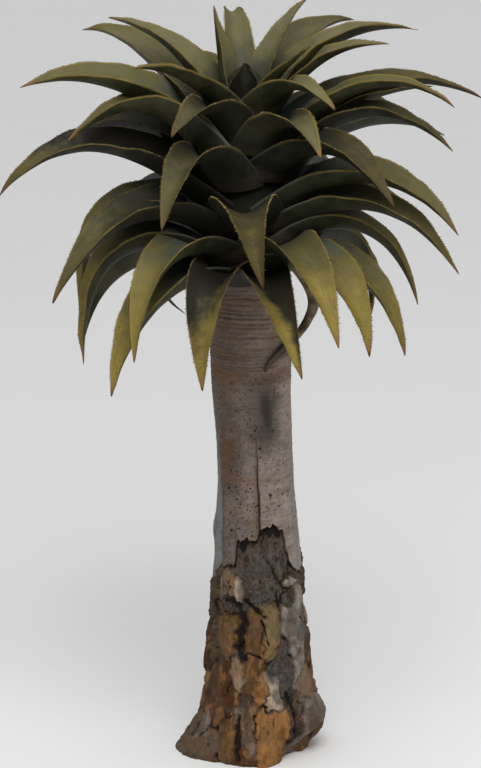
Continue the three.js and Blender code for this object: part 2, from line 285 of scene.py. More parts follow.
def row_map(tall, wide):
    """The same faces on a flat map: the wall is one sheet, and both fans are discs below it."""
    column = np.arange(wide)
    after = (column + 1) % wide
    across = np.stack([column, column + 1, column + 1, column], axis=-1) / wide
    climb = np.arange(tall) / (tall - 1)
    level = np.stack([climb[:-1], climb[:-1], climb[1:], climb[1:]], axis=-1)
    wall = np.stack(np.broadcast_arrays(across[None], level[:, None]), axis=-1)
    angle = 2 * np.pi * column / wide
    rim = np.stack([np.cos(angle), np.sin(angle)], axis=-1)
    middle = np.zeros((wide, 2))
    floor_fan = np.stack([rim[after], rim[column], middle], axis=1) * DISC_SIZE + FLOOR_DISC
    top_fan = np.stack([rim[column], rim[after], middle], axis=1) * DISC_SIZE + TOP_DISC
    parts = (wall * SHEET_SIZE + SHEET_FROM, floor_fan, top_fan)
    return np.concatenate([part.ravel() for part in parts])


print("faces of a skin with 3 rows of 4:", len(row_faces(3, 4)))

# %% Rows to a closed mesh
POINT_KINDS = {1: ("FLOAT", "value"), 3: ("FLOAT_VECTOR", "vector"), 4: ("FLOAT_COLOR", "color")}


def store(mesh, name, numbers):
    """Keep one number, arrow or colour for each point of a mesh, under a name."""
    numbers = np.asarray(numbers, dtype=np.float32)
    kind, part = POINT_KINDS[numbers.shape[1] if numbers.ndim == 2 else 1]
    mesh.attributes.new(name, kind, "POINT").data.foreach_set(part, numbers.ravel())


def closed_rows(name, rows, crack, tone, material):
    """A closed piece from rows of points in millimetres, with a crack value and a tone by point."""
    tall, wide = rows.shape[:2]
    ends = np.stack([rows[0].mean(axis=0), rows[-1].mean(axis=0)])
    points = np.concatenate([rows.reshape(-1, 3), ends]) * MM
    mesh = bpy.data.meshes.new(name)
    mesh.from_pydata(points.tolist(), [], row_faces(tall, wide))
    store(mesh, "crack", np.append(crack.ravel(), [0, 0]))
    paint = np.concatenate([tone.reshape(-1, 3), tone[0, :1], tone[-1, :1]])
    store(mesh, "tone", np.column_stack([paint, np.ones(len(paint))]))
    spread = mesh.uv_layers.new(name="OFBake")
    spread.data.foreach_set("uv", row_map(tall, wide).astype(np.float32))
    mesh.materials.append(material)
    mesh.polygons.foreach_set("use_smooth", np.ones(len(mesh.polygons), dtype=bool))
    mesh.validate()
    print(name, "faces:", len(mesh.polygons))
    return placed(name, mesh)


# %% [markdown]
# ## Weathered finishes
# Every bark surface has the same ageing: fine grain, blotches, dust on the high spots and dirt
# in the cracks. One shader group holds that ageing. It takes the plain colour that each patch
# was dealt, and how deep in a crack the point lies, and gives back a colour and a bump height.
# The dark colour of the cracks also paints shade under the torn skin, where the crack value holds it.

# %% Shader helpers
def shader_group(name, inputs, outputs):
    """A new shader group, the sockets it is given and the sockets it fills."""
    tree = bpy.data.node_groups.new(name, "ShaderNodeTree")
    for label, kind, value in inputs:
        socket = tree.interface.new_socket(label, in_out="INPUT", socket_type=kind)
        socket.default_value = value
    for label, kind in outputs:
        tree.interface.new_socket(label, in_out="OUTPUT", socket_type=kind)
    return tree, add(tree, "NodeGroupInput").outputs, add(tree, "NodeGroupOutput").inputs


def blended(tree, share, first, second, kind="MIX"):
    """One colour mixed into another."""
    made = add(tree, "ShaderNodeMix", data_type="RGBA", blend_type=kind)
    for place, value in ((0, share), (6, first), (7, second)):
        if isinstance(value, bpy.types.NodeSocket):
            tree.links.new(value, made.inputs[place])
        else:
            made.inputs[place].default_value = value if place == 0 else (*value, 1)
    return made.outputs[2]


def object_spot(tree):
    """Where a point lies in its piece's own space."""
    return add(tree, "ShaderNodeTexCoord").outputs["Object"]


def grain_of(tree, where, size, detail=4.0, rough=0.6, stretch=(1, 1, 1)):
    """Noise from 0 to 1 with lumps of about this size in metres."""
    scaled = add(tree, "ShaderNodeMapping", {"Vector": where, "Scale": stretch}).outputs[0]
    noise = {"Vector": scaled, "Scale": 1 / size, "Detail": detail, "Roughness": rough}
    return add(tree, "ShaderNodeTexNoise", noise).outputs[0]


def new_finish(name):
    """A new material, its tree and the inputs of its shader."""
    finish = bpy.data.materials.new(name)
    finish.use_nodes = True
    return finish, finish.node_tree, finish.node_tree.nodes["Principled BSDF"].inputs


def embossed(tree, skin, height, strength, depth):
    """Bump on a shader from a height value. The depth is in metres."""
    relief = add(tree, "ShaderNodeBump", {"Height": height, "Strength": strength, "Distance": depth})
    tree.links.new(relief.outputs[0], skin["Normal"])


print("shader helpers ready")

# %% Shader group for weathering
def weathering_group():
    number, paint = "NodeSocketFloat", "NodeSocketColor"
    tree, given, result = shader_group(
        "weathering",
        [("Tone", paint, (0.2, 0.2, 0.2, 1)), ("Crack", number, 0.0), ("Grain", number, 0.5),
         ("Lying", number, 0.0), ("Dirt and shade", paint, (0.013, 0.008, 0.005, 1))],
        [("Colour", paint), ("Height", number)],
    )
    times, _, less, times_plus = short_sums(tree)
    multiplied = partial(blended, tree, kind="MULTIPLY")
    spot = object_spot(tree)
    blotch = grain_of(tree, spot, 0.045)
    fleck = grain_of(tree, spot, 0.0035, 2, 0.5)
    upright = grain_of(tree, spot, 0.006, 5, 0.7, (1, 1, 0.35))
    level = grain_of(tree, spot, 0.006, 5, 0.7, (0.35, 0.35, 1))
    fibre = times_plus(less(level, upright), given["Lying"], upright)

    aged = multiplied(ramp(tree, blotch, 0.5, 0.75, 0, 0.35), given["Tone"], (0.9, 0.8, 0.7))
    aged = multiplied(times(ramp(tree, fibre, 0.5, 0.3), given["Grain"]), aged, (0.45, 0.4, 0.36))
    aged = multiplied(times(ramp(tree, fleck, 0.6, 0.75), 0.3), aged, (2.2, 2.1, 2.0))
    aged = vector_sum(tree, "SCALE", aged, times_plus(blotch, 0.5, 0.76))
    # Deep in a crack the colour turns to the dark dirt colour, which also paints shade where the crack
    # value carries it.
    crack = ramp(tree, times_plus(fibre, 0.3, given["Crack"]), 0.25, 1.0)
    tree.links.new(blended(tree, crack, aged, given["Dirt and shade"]), result["Colour"])
    tree.links.new(times_plus(fibre, given["Grain"], times(blotch, 0.4)), result["Height"])
    return tree


weathering = weathering_group()
print("weathering nodes:", len(weathering.nodes))

# %% Bark and neck materials
def weathered_finish(name, grain, lying, bump, rough):
    """A finish that weathers the tone and crack values stored on its piece."""
    finish, tree, skin = new_finish(name)
    tone = add(tree, "ShaderNodeAttribute", attribute_name="tone").outputs["Color"]
    crack = add(tree, "ShaderNodeAttribute", attribute_name="crack").outputs["Fac"]
    sizes = {"Tone": tone, "Crack": crack, "Grain": grain, "Lying": lying}
    aged = add(tree, "ShaderNodeGroup", sizes, node_tree=weathering)
    height = aged.outputs["Height"]
    tree.links.new(aged.outputs["Colour"], skin["Base Color"])
    embossed(tree, skin, height, bump, 0.003)
    tree.links.new(ramp(tree, height, 0.2, 1.0, rough, rough - 0.2), skin["Roughness"])
    skin["Specular IOR Level"].default_value = 0.25
    return finish


flaking_cork = weathered_finish("flaking_cork", grain=0.75, lying=0.0, bump=0.7, rough=0.98)
smooth_neck = weathered_finish("smooth_neck", grain=0.6, lying=0.9, bump=0.35, rough=0.9)
print("bark finishes:", flaking_cork.name, smooth_neck.name)

# %% [markdown]
# ## The flaking foot
# The lower trunk sheds its cork in plates, and each layer underneath has a colour of its own:
# golden where it is fresh, rusty or grey where it is old. A plate is a cell round its middle, so
# that neighbours meet in a crack. The solid trunk has the same plates in its facets. Here their
# borders turn ragged, and flakes, fissures and deep cracks are added to them.

# %% Plates of cork
TONES = {
    "golden": (0.158, 0.082, 0.028), "amber": (0.315, 0.153, 0.049), "rust": (0.074, 0.026, 0.006),
    "tan": (0.20, 0.13, 0.075), "pale": (0.47, 0.375, 0.285), "grey": (0.08, 0.068, 0.058),
    "ash": (0.255, 0.225, 0.195), "olive": (0.215, 0.148, 0.06), "root": (0.12, 0.084, 0.054),
    "knot": (0.025, 0.027, 0.014), "chalk": (0.56, 0.52, 0.45), "umber": (0.08, 0.053, 0.033),
    "buff": (0.27, 0.18, 0.108), "sienna": (0.11, 0.052, 0.017), "stone": (0.185, 0.158, 0.13),
}
ROUGH_TONES = ("grey", "umber", "knot")
FRESH_TONES = ("golden", "amber", "rust", "olive", "sienna")
SLEEK_TONES = ("ash", "pale", "chalk", "buff", "stone")
LICHEN = (0.11, 0.12, 0.045)
# Azimuth, height, half width, half height, how far it stands out, and tone. Front plates first.
BARK_PLATES = [
    (-45, 427, 28, 34, 2, "tan"), (-24, 419, 13, 27, 6, "pale"), (-51, 377, 34, 17, -1, "umber"),
    (47, 404, 22, 17, 4, "knot"), (48, 447, 22, 7, 6, "chalk"), (15, 334, 22, 52, 4, "olive"),
    (50, 296, 36, 86, 3, "ash"), (-42, 318, 30, 46, 6, "golden"), (-66, 287, 30, 62, 0, "umber"),
    (-4, 318, 18, 56, 2, "golden"), (-51, 169, 36, 76, 1, "rust"), (-24, 232, 17, 36, 5, "buff"),
    (-7, 233, 16, 34, 2, "sienna"), (1, 178, 17, 32, 8, "amber"), (17, 166, 20, 40, 6, "pale"),
    (30, 228, 26, 66, -4, "grey"), (70, 181, 40, 37, 5, "tan"), (67, 100, 46, 52, 3, "stone"),
    (44, 94, 24, 60, -6, "umber"), (13, 66, 36, 62, 7, "amber"), (-29, 58, 24, 50, 2, "golden"),
    (-68, 40, 62, 50, 3, "root"), (-17, 139, 16, 20, -3, "grey"), (-31, 152, 15, 36, 2, "rust"),
    (-56, 88, 14, 38, 1, "ash"), (-3, 470, 46, 64, -8, "grey"), (27, 520, 34, 46, -7, "grey"),
    (62, 380, 24, 40, 2, "ash"), (-5, 74, 14, 58, 4, "tan"), (-21, 124, 13, 12, 5, "pale"),
    (-173, 315, 35, 66, 4, "rust"), (-170, 589, 42, 55, 4, "ash"), (-162, 443, 46, 81, 2, "golden"),
    (-151, 12, 39, 51, -3, "umber"), (-148, 347, 23, 39, 5, "tan"), (-145, 165, 35, 82, 5, "rust"),
    (-144, 276, 26, 38, 0, "rust"), (-144, 553, 27, 31, 2, "ash"), (-131, 72, 25, 29, 0, "pale"),
    (-125, 14, 21, 34, -5, "ash"), (-120, 354, 40, 58, -2, "grey"), (-119, 236, 22, 28, -5, "ash"),
    (-118, 496, 38, 57, -1, "ash"), (-107, 127, 45, 66, -1, "golden"), (-103, 30, 21, 37, -1, "grey"),
    (-93, 251, 35, 61, 6, "rust"), (-81, 425, 47, 77, 3, "umber"), (-78, 179, 21, 28, 1, "golden"),
    (-13, 10, 20, 34, -3, "rust"), (48, 9, 26, 31, 3, "ash"), (82, 352, 25, 30, -4, "ash"),
    (86, 6, 44, 71, 3, "golden"), (89, 518, 45, 80, 5, "umber"), (94, 243, 43, 58, 5, "rust"),
    (102, 323, 25, 29, 3, "pale"), (108, 597, 20, 38, -2, "umber"), (118, 49, 20, 52, -2, "tan"),
    (118, 436, 46, 63, -5, "golden"), (119, 158, 37, 58, 3, "grey"), (129, 296, 38, 55, 0, "rust"),
    (137, 560, 47, 65, 4, "golden"), (142, 234, 20, 28, 6, "umber"), (149, 0, 43, 77, 0, "tan"),
    (157, 432, 42, 75, -2, "grey"), (160, 313, 25, 46, -4, "tan"), (170, 160, 48, 77, -1, "grey"),
    (179, 57, 34, 44, 6, "golden"),
]
# Azimuth and height of both ends of each deep crack, and its half width.
BARK_CRACKS = [
    (-25, 392, -18, 345, 9), (-18, 345, -23, 300, 13), (-23, 300, -17, 258, 9),
    (-20, 118, -16, 12, 5), (34, 165, 46, 60, 5), (-42, 402, -22, 398, 7), (-16, 404, 8, 366, 6),
    (4, 357, 12, 292, 2.5), (26, 431, 26, 379, 3), (-140, 420, -136, 250, 5),
    (140, 380, 150, 200, 5), (100, 210, 104, 90, 4), (-100, 200, -92, 90, 4),
    (-178, 260, 176, 110, 5),
]
print("plates of cork:", len(BARK_PLATES), "deep cracks:", len(BARK_CRACKS))

# %% Places on the unrolled trunk
CORK_ARC = 2.1  # millimetres of bark to a degree
FAR = 9.0


def nearest_plates(across, climb):
    """For points on the unrolled trunk: their own plate, the next one, and how near its border is."""
    first = np.full(across.shape, FAR)
    second = np.full(across.shape, FAR)
    owner = np.zeros(across.shape, dtype=int)
    other = np.zeros(across.shape, dtype=int)
    girth = 360 * CORK_ARC
    for index, (where, level, wide, tall, _, _) in enumerate(BARK_PLATES):
        beside = (across - where * CORK_ARC + girth / 2) % girth - girth / 2
        away = np.hypot(beside / wide, (climb - level) / tall)
        nearer = away < first
        other = np.where(nearer, owner, np.where(away < second, index, other))
        second = np.where(nearer, first, np.minimum(second, away))
        owner = np.where(nearer, index, owner)
        first = np.where(nearer, away, first)
    size = np.array([math.sqrt(plate[2] * plate[3]) for plate in BARK_PLATES])[owner]
    return owner, other, (second - first) * 0.5 * size


def from_line(azimuth, height, line):
    """How far points are from a straight line between two places on the unrolled trunk."""
    start_turn, start_level, end_turn, end_level = line
    beside = turn_from(azimuth, start_turn) * CORK_ARC
    above = height - start_level
    run, climb = turn_from(end_turn, start_turn) * CORK_ARC, end_level - start_level
    share = np.clip((beside * run + above * climb) / (run**2 + climb**2), 0, 1)
    return np.hypot(beside - share * run, above - share * climb)


# The torn lower edge of the smooth skin: azimuth and height.
SKIN_EDGE = [
    (-180, 522), (-166, 531), (-152, 512), (-149, 480), (-128, 474), (-124, 441), (-95, 420),
    (-70, 447), (-55, 474), (-48, 480), (-31, 487), (-29, 544), (-15, 551), (-1, 555), (7, 575),
    (19, 584), (33, 579), (40, 574), (43, 536), (49, 495), (63, 451), (78, 458), (88, 464),
    (97, 498), (113, 512), (123, 490), (142, 478), (157, 494), (166, 520), (180, 522),
]


def torn_edge(azimuth):
    """The height of the torn edge at these azimuths."""
    ring = on_trunk(azimuth, np.full(azimuth.shape, 520.0), np.full(azimuth.shape, 100.0))
    ragged = 9 * cloud(ring, 22, 51, 3) + 6 * cloud(ring, 7, 52, 2)
    return np.interp(azimuth, *zip(*SKIN_EDGE)) + ragged


print("the skin ends in front at", round(float(torn_edge(np.zeros(1))[0])), "mm")

# %% Cork fields
def cork_fields(azimuth, height):
    """What the cork's relief and tones both need, for each point."""
    flat = on_trunk(azimuth, height, trunk_radius(azimuth, height))
    upright = flat * (1, 1, 0.4)
    shift = 8 * cloud(flat, 44, 11, 3) + 6 * cloud(flat, 15, 12, 3)
    climb = 11 * cloud(flat, 50, 17, 3) + 7 * cloud(flat, 16, 18, 3)
    owner, other, edge = nearest_plates(azimuth * CORK_ARC + shift, height + climb)
    kind = np.array([plate[5] for plate in BARK_PLATES])[owner]
    sleek = np.isin(kind, SLEEK_TONES)
    return SimpleNamespace(
        azimuth=azimuth,
        height=height,
        flat=flat,
        upright=upright,
        wandered=(azimuth + 0.5 * shift / CORK_ARC, height + 0.5 * climb),
        owner=owner,
        other=other,
        edge=np.maximum(edge + 0.8 * cloud(flat, 6, 95, 2), 0),
        rough=np.isin(kind, ROUGH_TONES),
        fresh=np.isin(kind, FRESH_TONES),
        sleek=sleek,
        flake=ease(cloud(upright, 30, 53, 3), 0.08, 0.14),
        scale=ease(cloud(upright, 17, 57, 3), 0.15, 0.22),
        chip=ease(cloud(upright, 9, 85, 2), 0.25, 0.4) * np.where(sleek, 0.4, 1),
        grit=cloud(flat, 4.6, 93, 2),
    )


CORK_TOP, CORK_ROWS, CORK_COLUMNS = 640, 268, 360
cork_azimuth, cork_height = np.meshgrid(
    np.linspace(-180, 180, CORK_COLUMNS, endpoint=False), np.linspace(0, CORK_TOP, CORK_ROWS),
)
cork = cork_fields(cork_azimuth, cork_height)
print("points of cork:", cork.edge.size)

# %% Cork relief
GASH_DEPTH, POCKET_DEPTH = 8, 3.5


def cork_relief(cork):
    """How far the cork stands out, and how deep in a crack each point is."""
    flat, edge = cork.flat, cork.edge
    lift = np.array([plate[4] for plate in BARK_PLATES], dtype=float)[cork.owner]
    lumps = cloud(flat, 10, 29, 3)
    gap = np.clip(0.25 + 1.5 * cloud(flat, 34, 37, 2), 0, 1)
    crack = 0.85 * gap * (1 - ease(edge, 0.3, 1.2 + 3.6 * gap))
    fissure = 1 - ease(np.abs(cloud(cork.upright, 26, 23, 3)), 0.02, 0.11)
    fissure *= ease(cloud(flat, 60, 27, 2), -0.15, 0.5) * np.where(cork.sleek, 0.25, 1)
    out = lift * ease(edge, 0, 5) + 3 * ease(edge, 0, 17) - 1.5
    out += 2.4 * cork.flake + 1.6 * cork.scale + 1.2 * cork.chip - 4.5 * crack - 2.5 * fissure
    out += np.where(cork.rough, 3.2 * lumps + 0.9 * cork.grit, 0.9 * cloud(cork.upright, 9, 31, 3))
    crack = np.maximum(crack, 0.75 * fissure)
    crack = np.maximum(crack, np.where(cork.rough, 0.6, 0) * ease(-lumps, 0.3, 0.8))

    ragged = np.clip(1 + 0.9 * cloud(flat, 13, 33, 3), 0.15, 1.9)
    dark = 0.95 + 0.3 * cloud(flat, 9, 97, 2)
    for *line, wide in BARK_CRACKS:
        gash = hump(from_line(*cork.wandered, line), wide * ragged)
        out -= GASH_DEPTH * gash
        crack = np.maximum(crack, dark * gash)

    # The cork is hollow under the torn skin, most of all in two pockets in front, and is darkened there
    # through its crack value: dirt and a painted shadow of the skin's edge.
    below = torn_edge(cork.azimuth) - cork.height
    pocket = 1.2 * hump(turn_from(cork.azimuth, 23), 15)
    pocket += 1.3 * hump(turn_from(cork.azimuth, -19), 9)
    hollow_and_shadow = hump(below - 2, (8 + 18 * pocket) * (1 + 0.3 * cloud(flat, 17, 67, 2)), 4)
    hollow_and_shadow *= np.clip(ease(cloud(flat, 30, 65, 3), -0.2, 0.6) + pocket, 0, 1)
    out -= POCKET_DEPTH * hollow_and_shadow
    crack = np.maximum(crack, (1.1 + 0.25 * cloud(flat, 9, 99, 2)) * hollow_and_shadow)
    return out, np.clip(crack, 0, 1)


cork_out, cork_crack = cork_relief(cork)
print("cork stands out from", round(float(cork_out.min())), "to", round(float(cork_out.max())), "mm")

# %% Cork tones
DARKEST = 0.004


def cork_tones(cork):
    """Each point's tone: that of its plate, then coats of weather in order."""
    flat, upright, edge = cork.flat, cork.upright, cork.edge
    tones = np.array([TONES[plate[5]] for plate in BARK_PLATES])
    mixed = 4 + 9 * ease(cloud(flat, 40, 103, 2), -0.3, 0.5)
    blend = 0.5 * (1 - ease(edge, 0, mixed))[..., None]
    tone = tones[cork.owner] * (1 - blend) + tones[cork.other] * blend
    # Painted shade: each plate is painted darker towards its border with the next.
    tone = tone * (0.74 + 0.3 * ease(edge, 0, 10))[..., None]

    bare = 1 - ease(cork.height, 60, 480) * 0.6
    golden = np.where(cork.rough, 0.06, np.where(cork.fresh, 0.5, 0.2))
    pale = np.where(cork.fresh | cork.rough, 0.04, 0.25)
    # A tan line near each plate's rim: paler chipped edges and a painted highlight.
    rim = hump(edge - 3.4, 1.4) * ease(cloud(flat, 26, 91, 2), 0.05, 0.5)
    coats = [
        (0.5 * (1 - cork.flake) * ease(cloud(flat, 36, 59, 2), -0.1, 0.5), "rust"),
        (np.where(cork.fresh, 0.4, 0.55) * ease(cloud(upright, 40, 41, 3), 0.12, 0.45) * bare, "umber"),
        (np.where(cork.fresh, 0.25, 0.7) * ease(cloud(flat, 55, 43, 3), 0.25, 0.55), "grey"),
        (pale * cork.scale * ease(cloud(flat, 48, 61, 2), 0.1, 0.6), "pale"),
        (golden * ease(cloud(upright, 15, 69, 3), 0.2, 0.5), "amber"),
        (0.45 * cork.chip * ease(cloud(flat, 30, 87, 2), -0.2, 0.5), "umber"),
        (np.where(cork.rough, 0.12, 0.4) * rim, "tan"),
    ]
    for share, name in coats:
        tone = tinted(tone, share, TONES[name])
    speckle = 0.22 * cloud(upright, 12, 47, 3) + np.where(cork.rough, 0.42, 0.13) * cork.grit
    tone = tone * (1 + speckle)[..., None]
    green = hump(turn_from(cork.azimuth, 21), 9) * hump(cork.height - 315, 38)
    green = green * ease(cloud(flat, 18, 63, 2), 0.1, 0.6)
    return np.clip(tinted(tone, 0.5 * green, LICHEN), DARKEST, 1)


UNDER_SKIN = 8  # millimetres that the cork sinks where the skin covers it
covered = ease(cork_height - torn_edge(cork_azimuth), 0, 8)
cork_stand = (cork_out - 1) * (1 - covered) - UNDER_SKIN * covered
cork_radius = trunk_radius(cork_azimuth, cork_height) + cork_stand
cork_rows = on_trunk(cork_azimuth, cork_height, cork_radius)
trunk_cork = closed_rows("trunk_cork", cork_rows, cork_crack, cork_tones(cork), flaking_cork)

# %% [markdown]
# ## The smooth neck
# Above the cork the trunk keeps its thin, pale skin, which ends below in a torn edge. It has
# ring lines where leaves once sat, dark pores, a long seam in front and rusty stains. The skin
# is a second shell that lies over the cork, so that its torn edge is real and casts a shadow.

# %% Skin grid
SKIN_TONES = {
    "skin": (0.245, 0.196, 0.167), "ring": (0.155, 0.082, 0.04), "stain": (0.095, 0.058, 0.04),
    "slate": (0.21, 0.225, 0.225), "seam": (0.175, 0.13, 0.085), "crown_shade": (0.012, 0.012, 0.006),
    "smudge_and_shade": (0.05, 0.04, 0.035), "shade": (0.115, 0.08, 0.06), "line": (0.07, 0.05, 0.039),
    "bud": (0.06, 0.06, 0.036),
}
SKIN_COLUMNS = 288
EVEN_FROM, CROWN_FROM, TRUNK_TOP = 640, 1240, 1670
skin_turns = np.linspace(-180, 180, SKIN_COLUMNS, endpoint=False)
skin_torn = torn_edge(skin_turns)
skin_low = np.linspace(0, 1, 60, endpoint=False)
skin_levels = np.concatenate([
    np.linspace(EVEN_FROM, CROWN_FROM, 250, endpoint=False), np.linspace(CROWN_FROM, TRUNK_TOP, 24),
])
skin_height = np.concatenate([
    skin_torn + (EVEN_FROM - skin_torn) * skin_low[:, None],
    np.repeat(skin_levels[:, None], SKIN_COLUMNS, axis=1),
])
skin_azimuth = np.tile(skin_turns, (len(skin_height), 1))
print("skin from", round(float(skin_height.min())), "mm, with", len(skin_height), "rows")

# %% Pores and rings
FRONT_PORES = [
    (-43.5, 675, 4.2), (-46, 684, 3.0), (-30, 681, 3.4), (9, 778, 4.4), (9, 757, 3.2),
    (-38, 573, 4.0), (22, 662, 4.0), (43, 660, 3.4), (35, 632, 3.0), (-24, 870, 3.0),
    (30, 820, 2.6), (48, 735, 3.0),
]
STREWN_PORES, DUSTED_PORES, RINGS = 430, 110, 27


def pore_spots(chance):
    """Azimuth, height and radius of each pore: some in front listed, the rest by chance."""
    deal = chance.uniform
    slanted = [
        (-40 + 3.4 * i + deal(-2, 2), 728 - 5 * i + deal(-9, 9), deal(1.8, 3.6)) for i in range(11)
    ]
    cluster = [(-4 + 2 * i + deal(-2, 2), 812 - 5 * i, deal(1.8, 3)) for i in range(4)]
    strewn = [(deal(-180, 180), deal(560, 955), deal(1.4, 2.8)) for _ in range(STREWN_PORES)]
    dusted = [(deal(-55, 10), deal(560, 700), deal(1.2, 1.9)) for _ in range(DUSTED_PORES)]
    return slanted + FRONT_PORES + cluster + strewn + dusted


skin_pores = pore_spots(np.random.default_rng(19))
ring_chance = np.random.default_rng(29)
ring_steps = ring_chance.uniform(0.7, 1.3, RINGS) * np.linspace(8, 13, RINGS)
RING_LEVELS = 936 + np.cumsum(ring_steps)
RING_DEPTHS = ring_chance.uniform(0.35, 1.0, RINGS)
# Azimuth and height of both ends of each split in the skin, and its half width.
SKIN_CRACKS = [(43, 521, 74, 534, 2.4), (71, 534, 69, 468, 2.0), (-56, 620, -57, 480, 1.2)]
print("pores:", len(skin_pores), "rings up to", round(float(RING_LEVELS[-1])), "mm")

# %% Skin fields
SKIN_ARC = 1.65  # millimetres of skin to a degree


def skin_fields(azimuth, height):
    """What the skin's relief and tones both need, for each point."""
    flat = on_trunk(azimuth, height, trunk_radius(azimuth, height))
    soft = cloud(flat, 70, 61, 3)
    wander = height + 5 * cloud(flat * (0.4, 0.4, 1), 60, 73, 2) + 2 * cloud(flat, 24, 74, 2)
    groove = np.zeros(azimuth.shape)
    for level, depth in zip(RING_LEVELS, RING_DEPTHS):
        groove = np.maximum(groove, depth * hump(wander - level, 2.0))
    groove *= 0.35 + 0.65 * ease(cloud(flat * (0.6, 0.6, 2.5), 40, 75, 2), -0.5, 0.4)

    # A grey strip on the left, bare of its outer skin, with a clean front border and a frayed back.
    border = np.interp(height, [480, 585, 656, 754, 860, 950], [-50, -54, -61, -66, -74, -84])
    border = border + 2 * soft
    frayed = 14 * cloud(flat * (1, 1, 0.4), 36, 121, 3)
    strip = ease(-turn_from(azimuth, border), 0, 3) * ease(turn_from(azimuth, -104) + frayed, -12, 16)
    strip = strip * ease(height, 430, 480) * fade_out(height - 2 * frayed, 820, 960)

    # The seam in front: how far across it a point lies, in its own half widths.
    seam_width = np.interp(height, [540, 600, 690, 800, 830], [11.0, 7.5, 4.2, 2.0, 0.5])
    middle = np.interp(height, [540, 600, 690, 800], [-2.0, -1.5, 0.5, 2.0])
    across = turn_from(azimuth, middle) * SKIN_ARC + 1.5 * cloud(flat, 30, 83)
    return SimpleNamespace(
        azimuth=azimuth,
        height=height,
        flat=flat,
        soft=soft,
        wander=wander,
        groove=groove,
        border=border,
        strip=strip,
        across=across / seam_width,
        seamed=fade_out(height, 780, 830),
        wrinkle=cloud(flat * (0.22, 0.22, 1), 6, 107, 2),
        streaky=cloud(flat * (1, 1, 0.35), 22, 77, 3),
        broken=ease(cloud(flat * (1, 1, 0.5), 16, 81, 2), -0.3, 0.4),
    )


skin = skin_fields(skin_azimuth, skin_height)
print("points of skin:", skin.soft.size)

# %% Skin relief
def skin_relief(skin):
    """How far the skin stands out, and how deep in a pore or crack each point is."""
    azimuth, height, flat, soft = skin.azimuth, skin.height, skin.flat, skin.soft
    across, seamed, broken = skin.across, skin.seamed, skin.broken
    out = 0.8 * soft + 0.4 * cloud(flat, 9, 67, 2) + 0.5 * skin.wrinkle
    out -= 2.2 * skin.groove + 1.8 * skin.strip
    out += 7 * hump(turn_from(azimuth, -82), 16) * hump(height - 560, 32)
    out += seamed * (1.6 * hump(across + 0.2, 1) - 3.6 * hump(across - 1.3, 0.6))
    crack = 0.9 * seamed * hump(across - 1.2, 0.42 + 0.15 * soft)
    crack = np.maximum(crack, 0.45 * seamed * hump(across + 1.2, 0.22) * broken)
    for where, top in ((56, 720), (63, 640)):
        split = hump(turn_from(azimuth, where + 5 * soft), 1.4) * fade_out(height, 560, top)
        crack = np.maximum(crack, 0.6 * broken * split)

    oddly = 1 + 0.3 * cloud(flat, 5, 113, 2)
    for where, level, wide in skin_pores:
        near = np.hypot(turn_from(azimuth, where) * SKIN_ARC, height - level) * oddly
        pit = 1 - ease(near, 0.45 * wide, 1.15 * wide)
        out -= 1.4 * pit
        crack = np.maximum(crack, 0.95 * pit)
    for *line, wide in SKIN_CRACKS:
        split = hump(from_line(azimuth + 3 * soft, height + 4 * soft, line), wide)
        out -= 3 * split
        crack = np.maximum(crack, (0.3 + 0.5 * broken) * split)
    above = height - height[0]
    out += 1.5 * fade_out(above, 0, 10) * cloud(flat, 18, 89, 2)
    crack = np.maximum(crack, 0.2 * fade_out(above, 0, 5))
    return out, np.clip(crack, 0, 1)


skin_out, skin_crack = skin_relief(skin)
print("skin stands out from", round(float(skin_out.min())), "to", round(float(skin_out.max())), "mm")

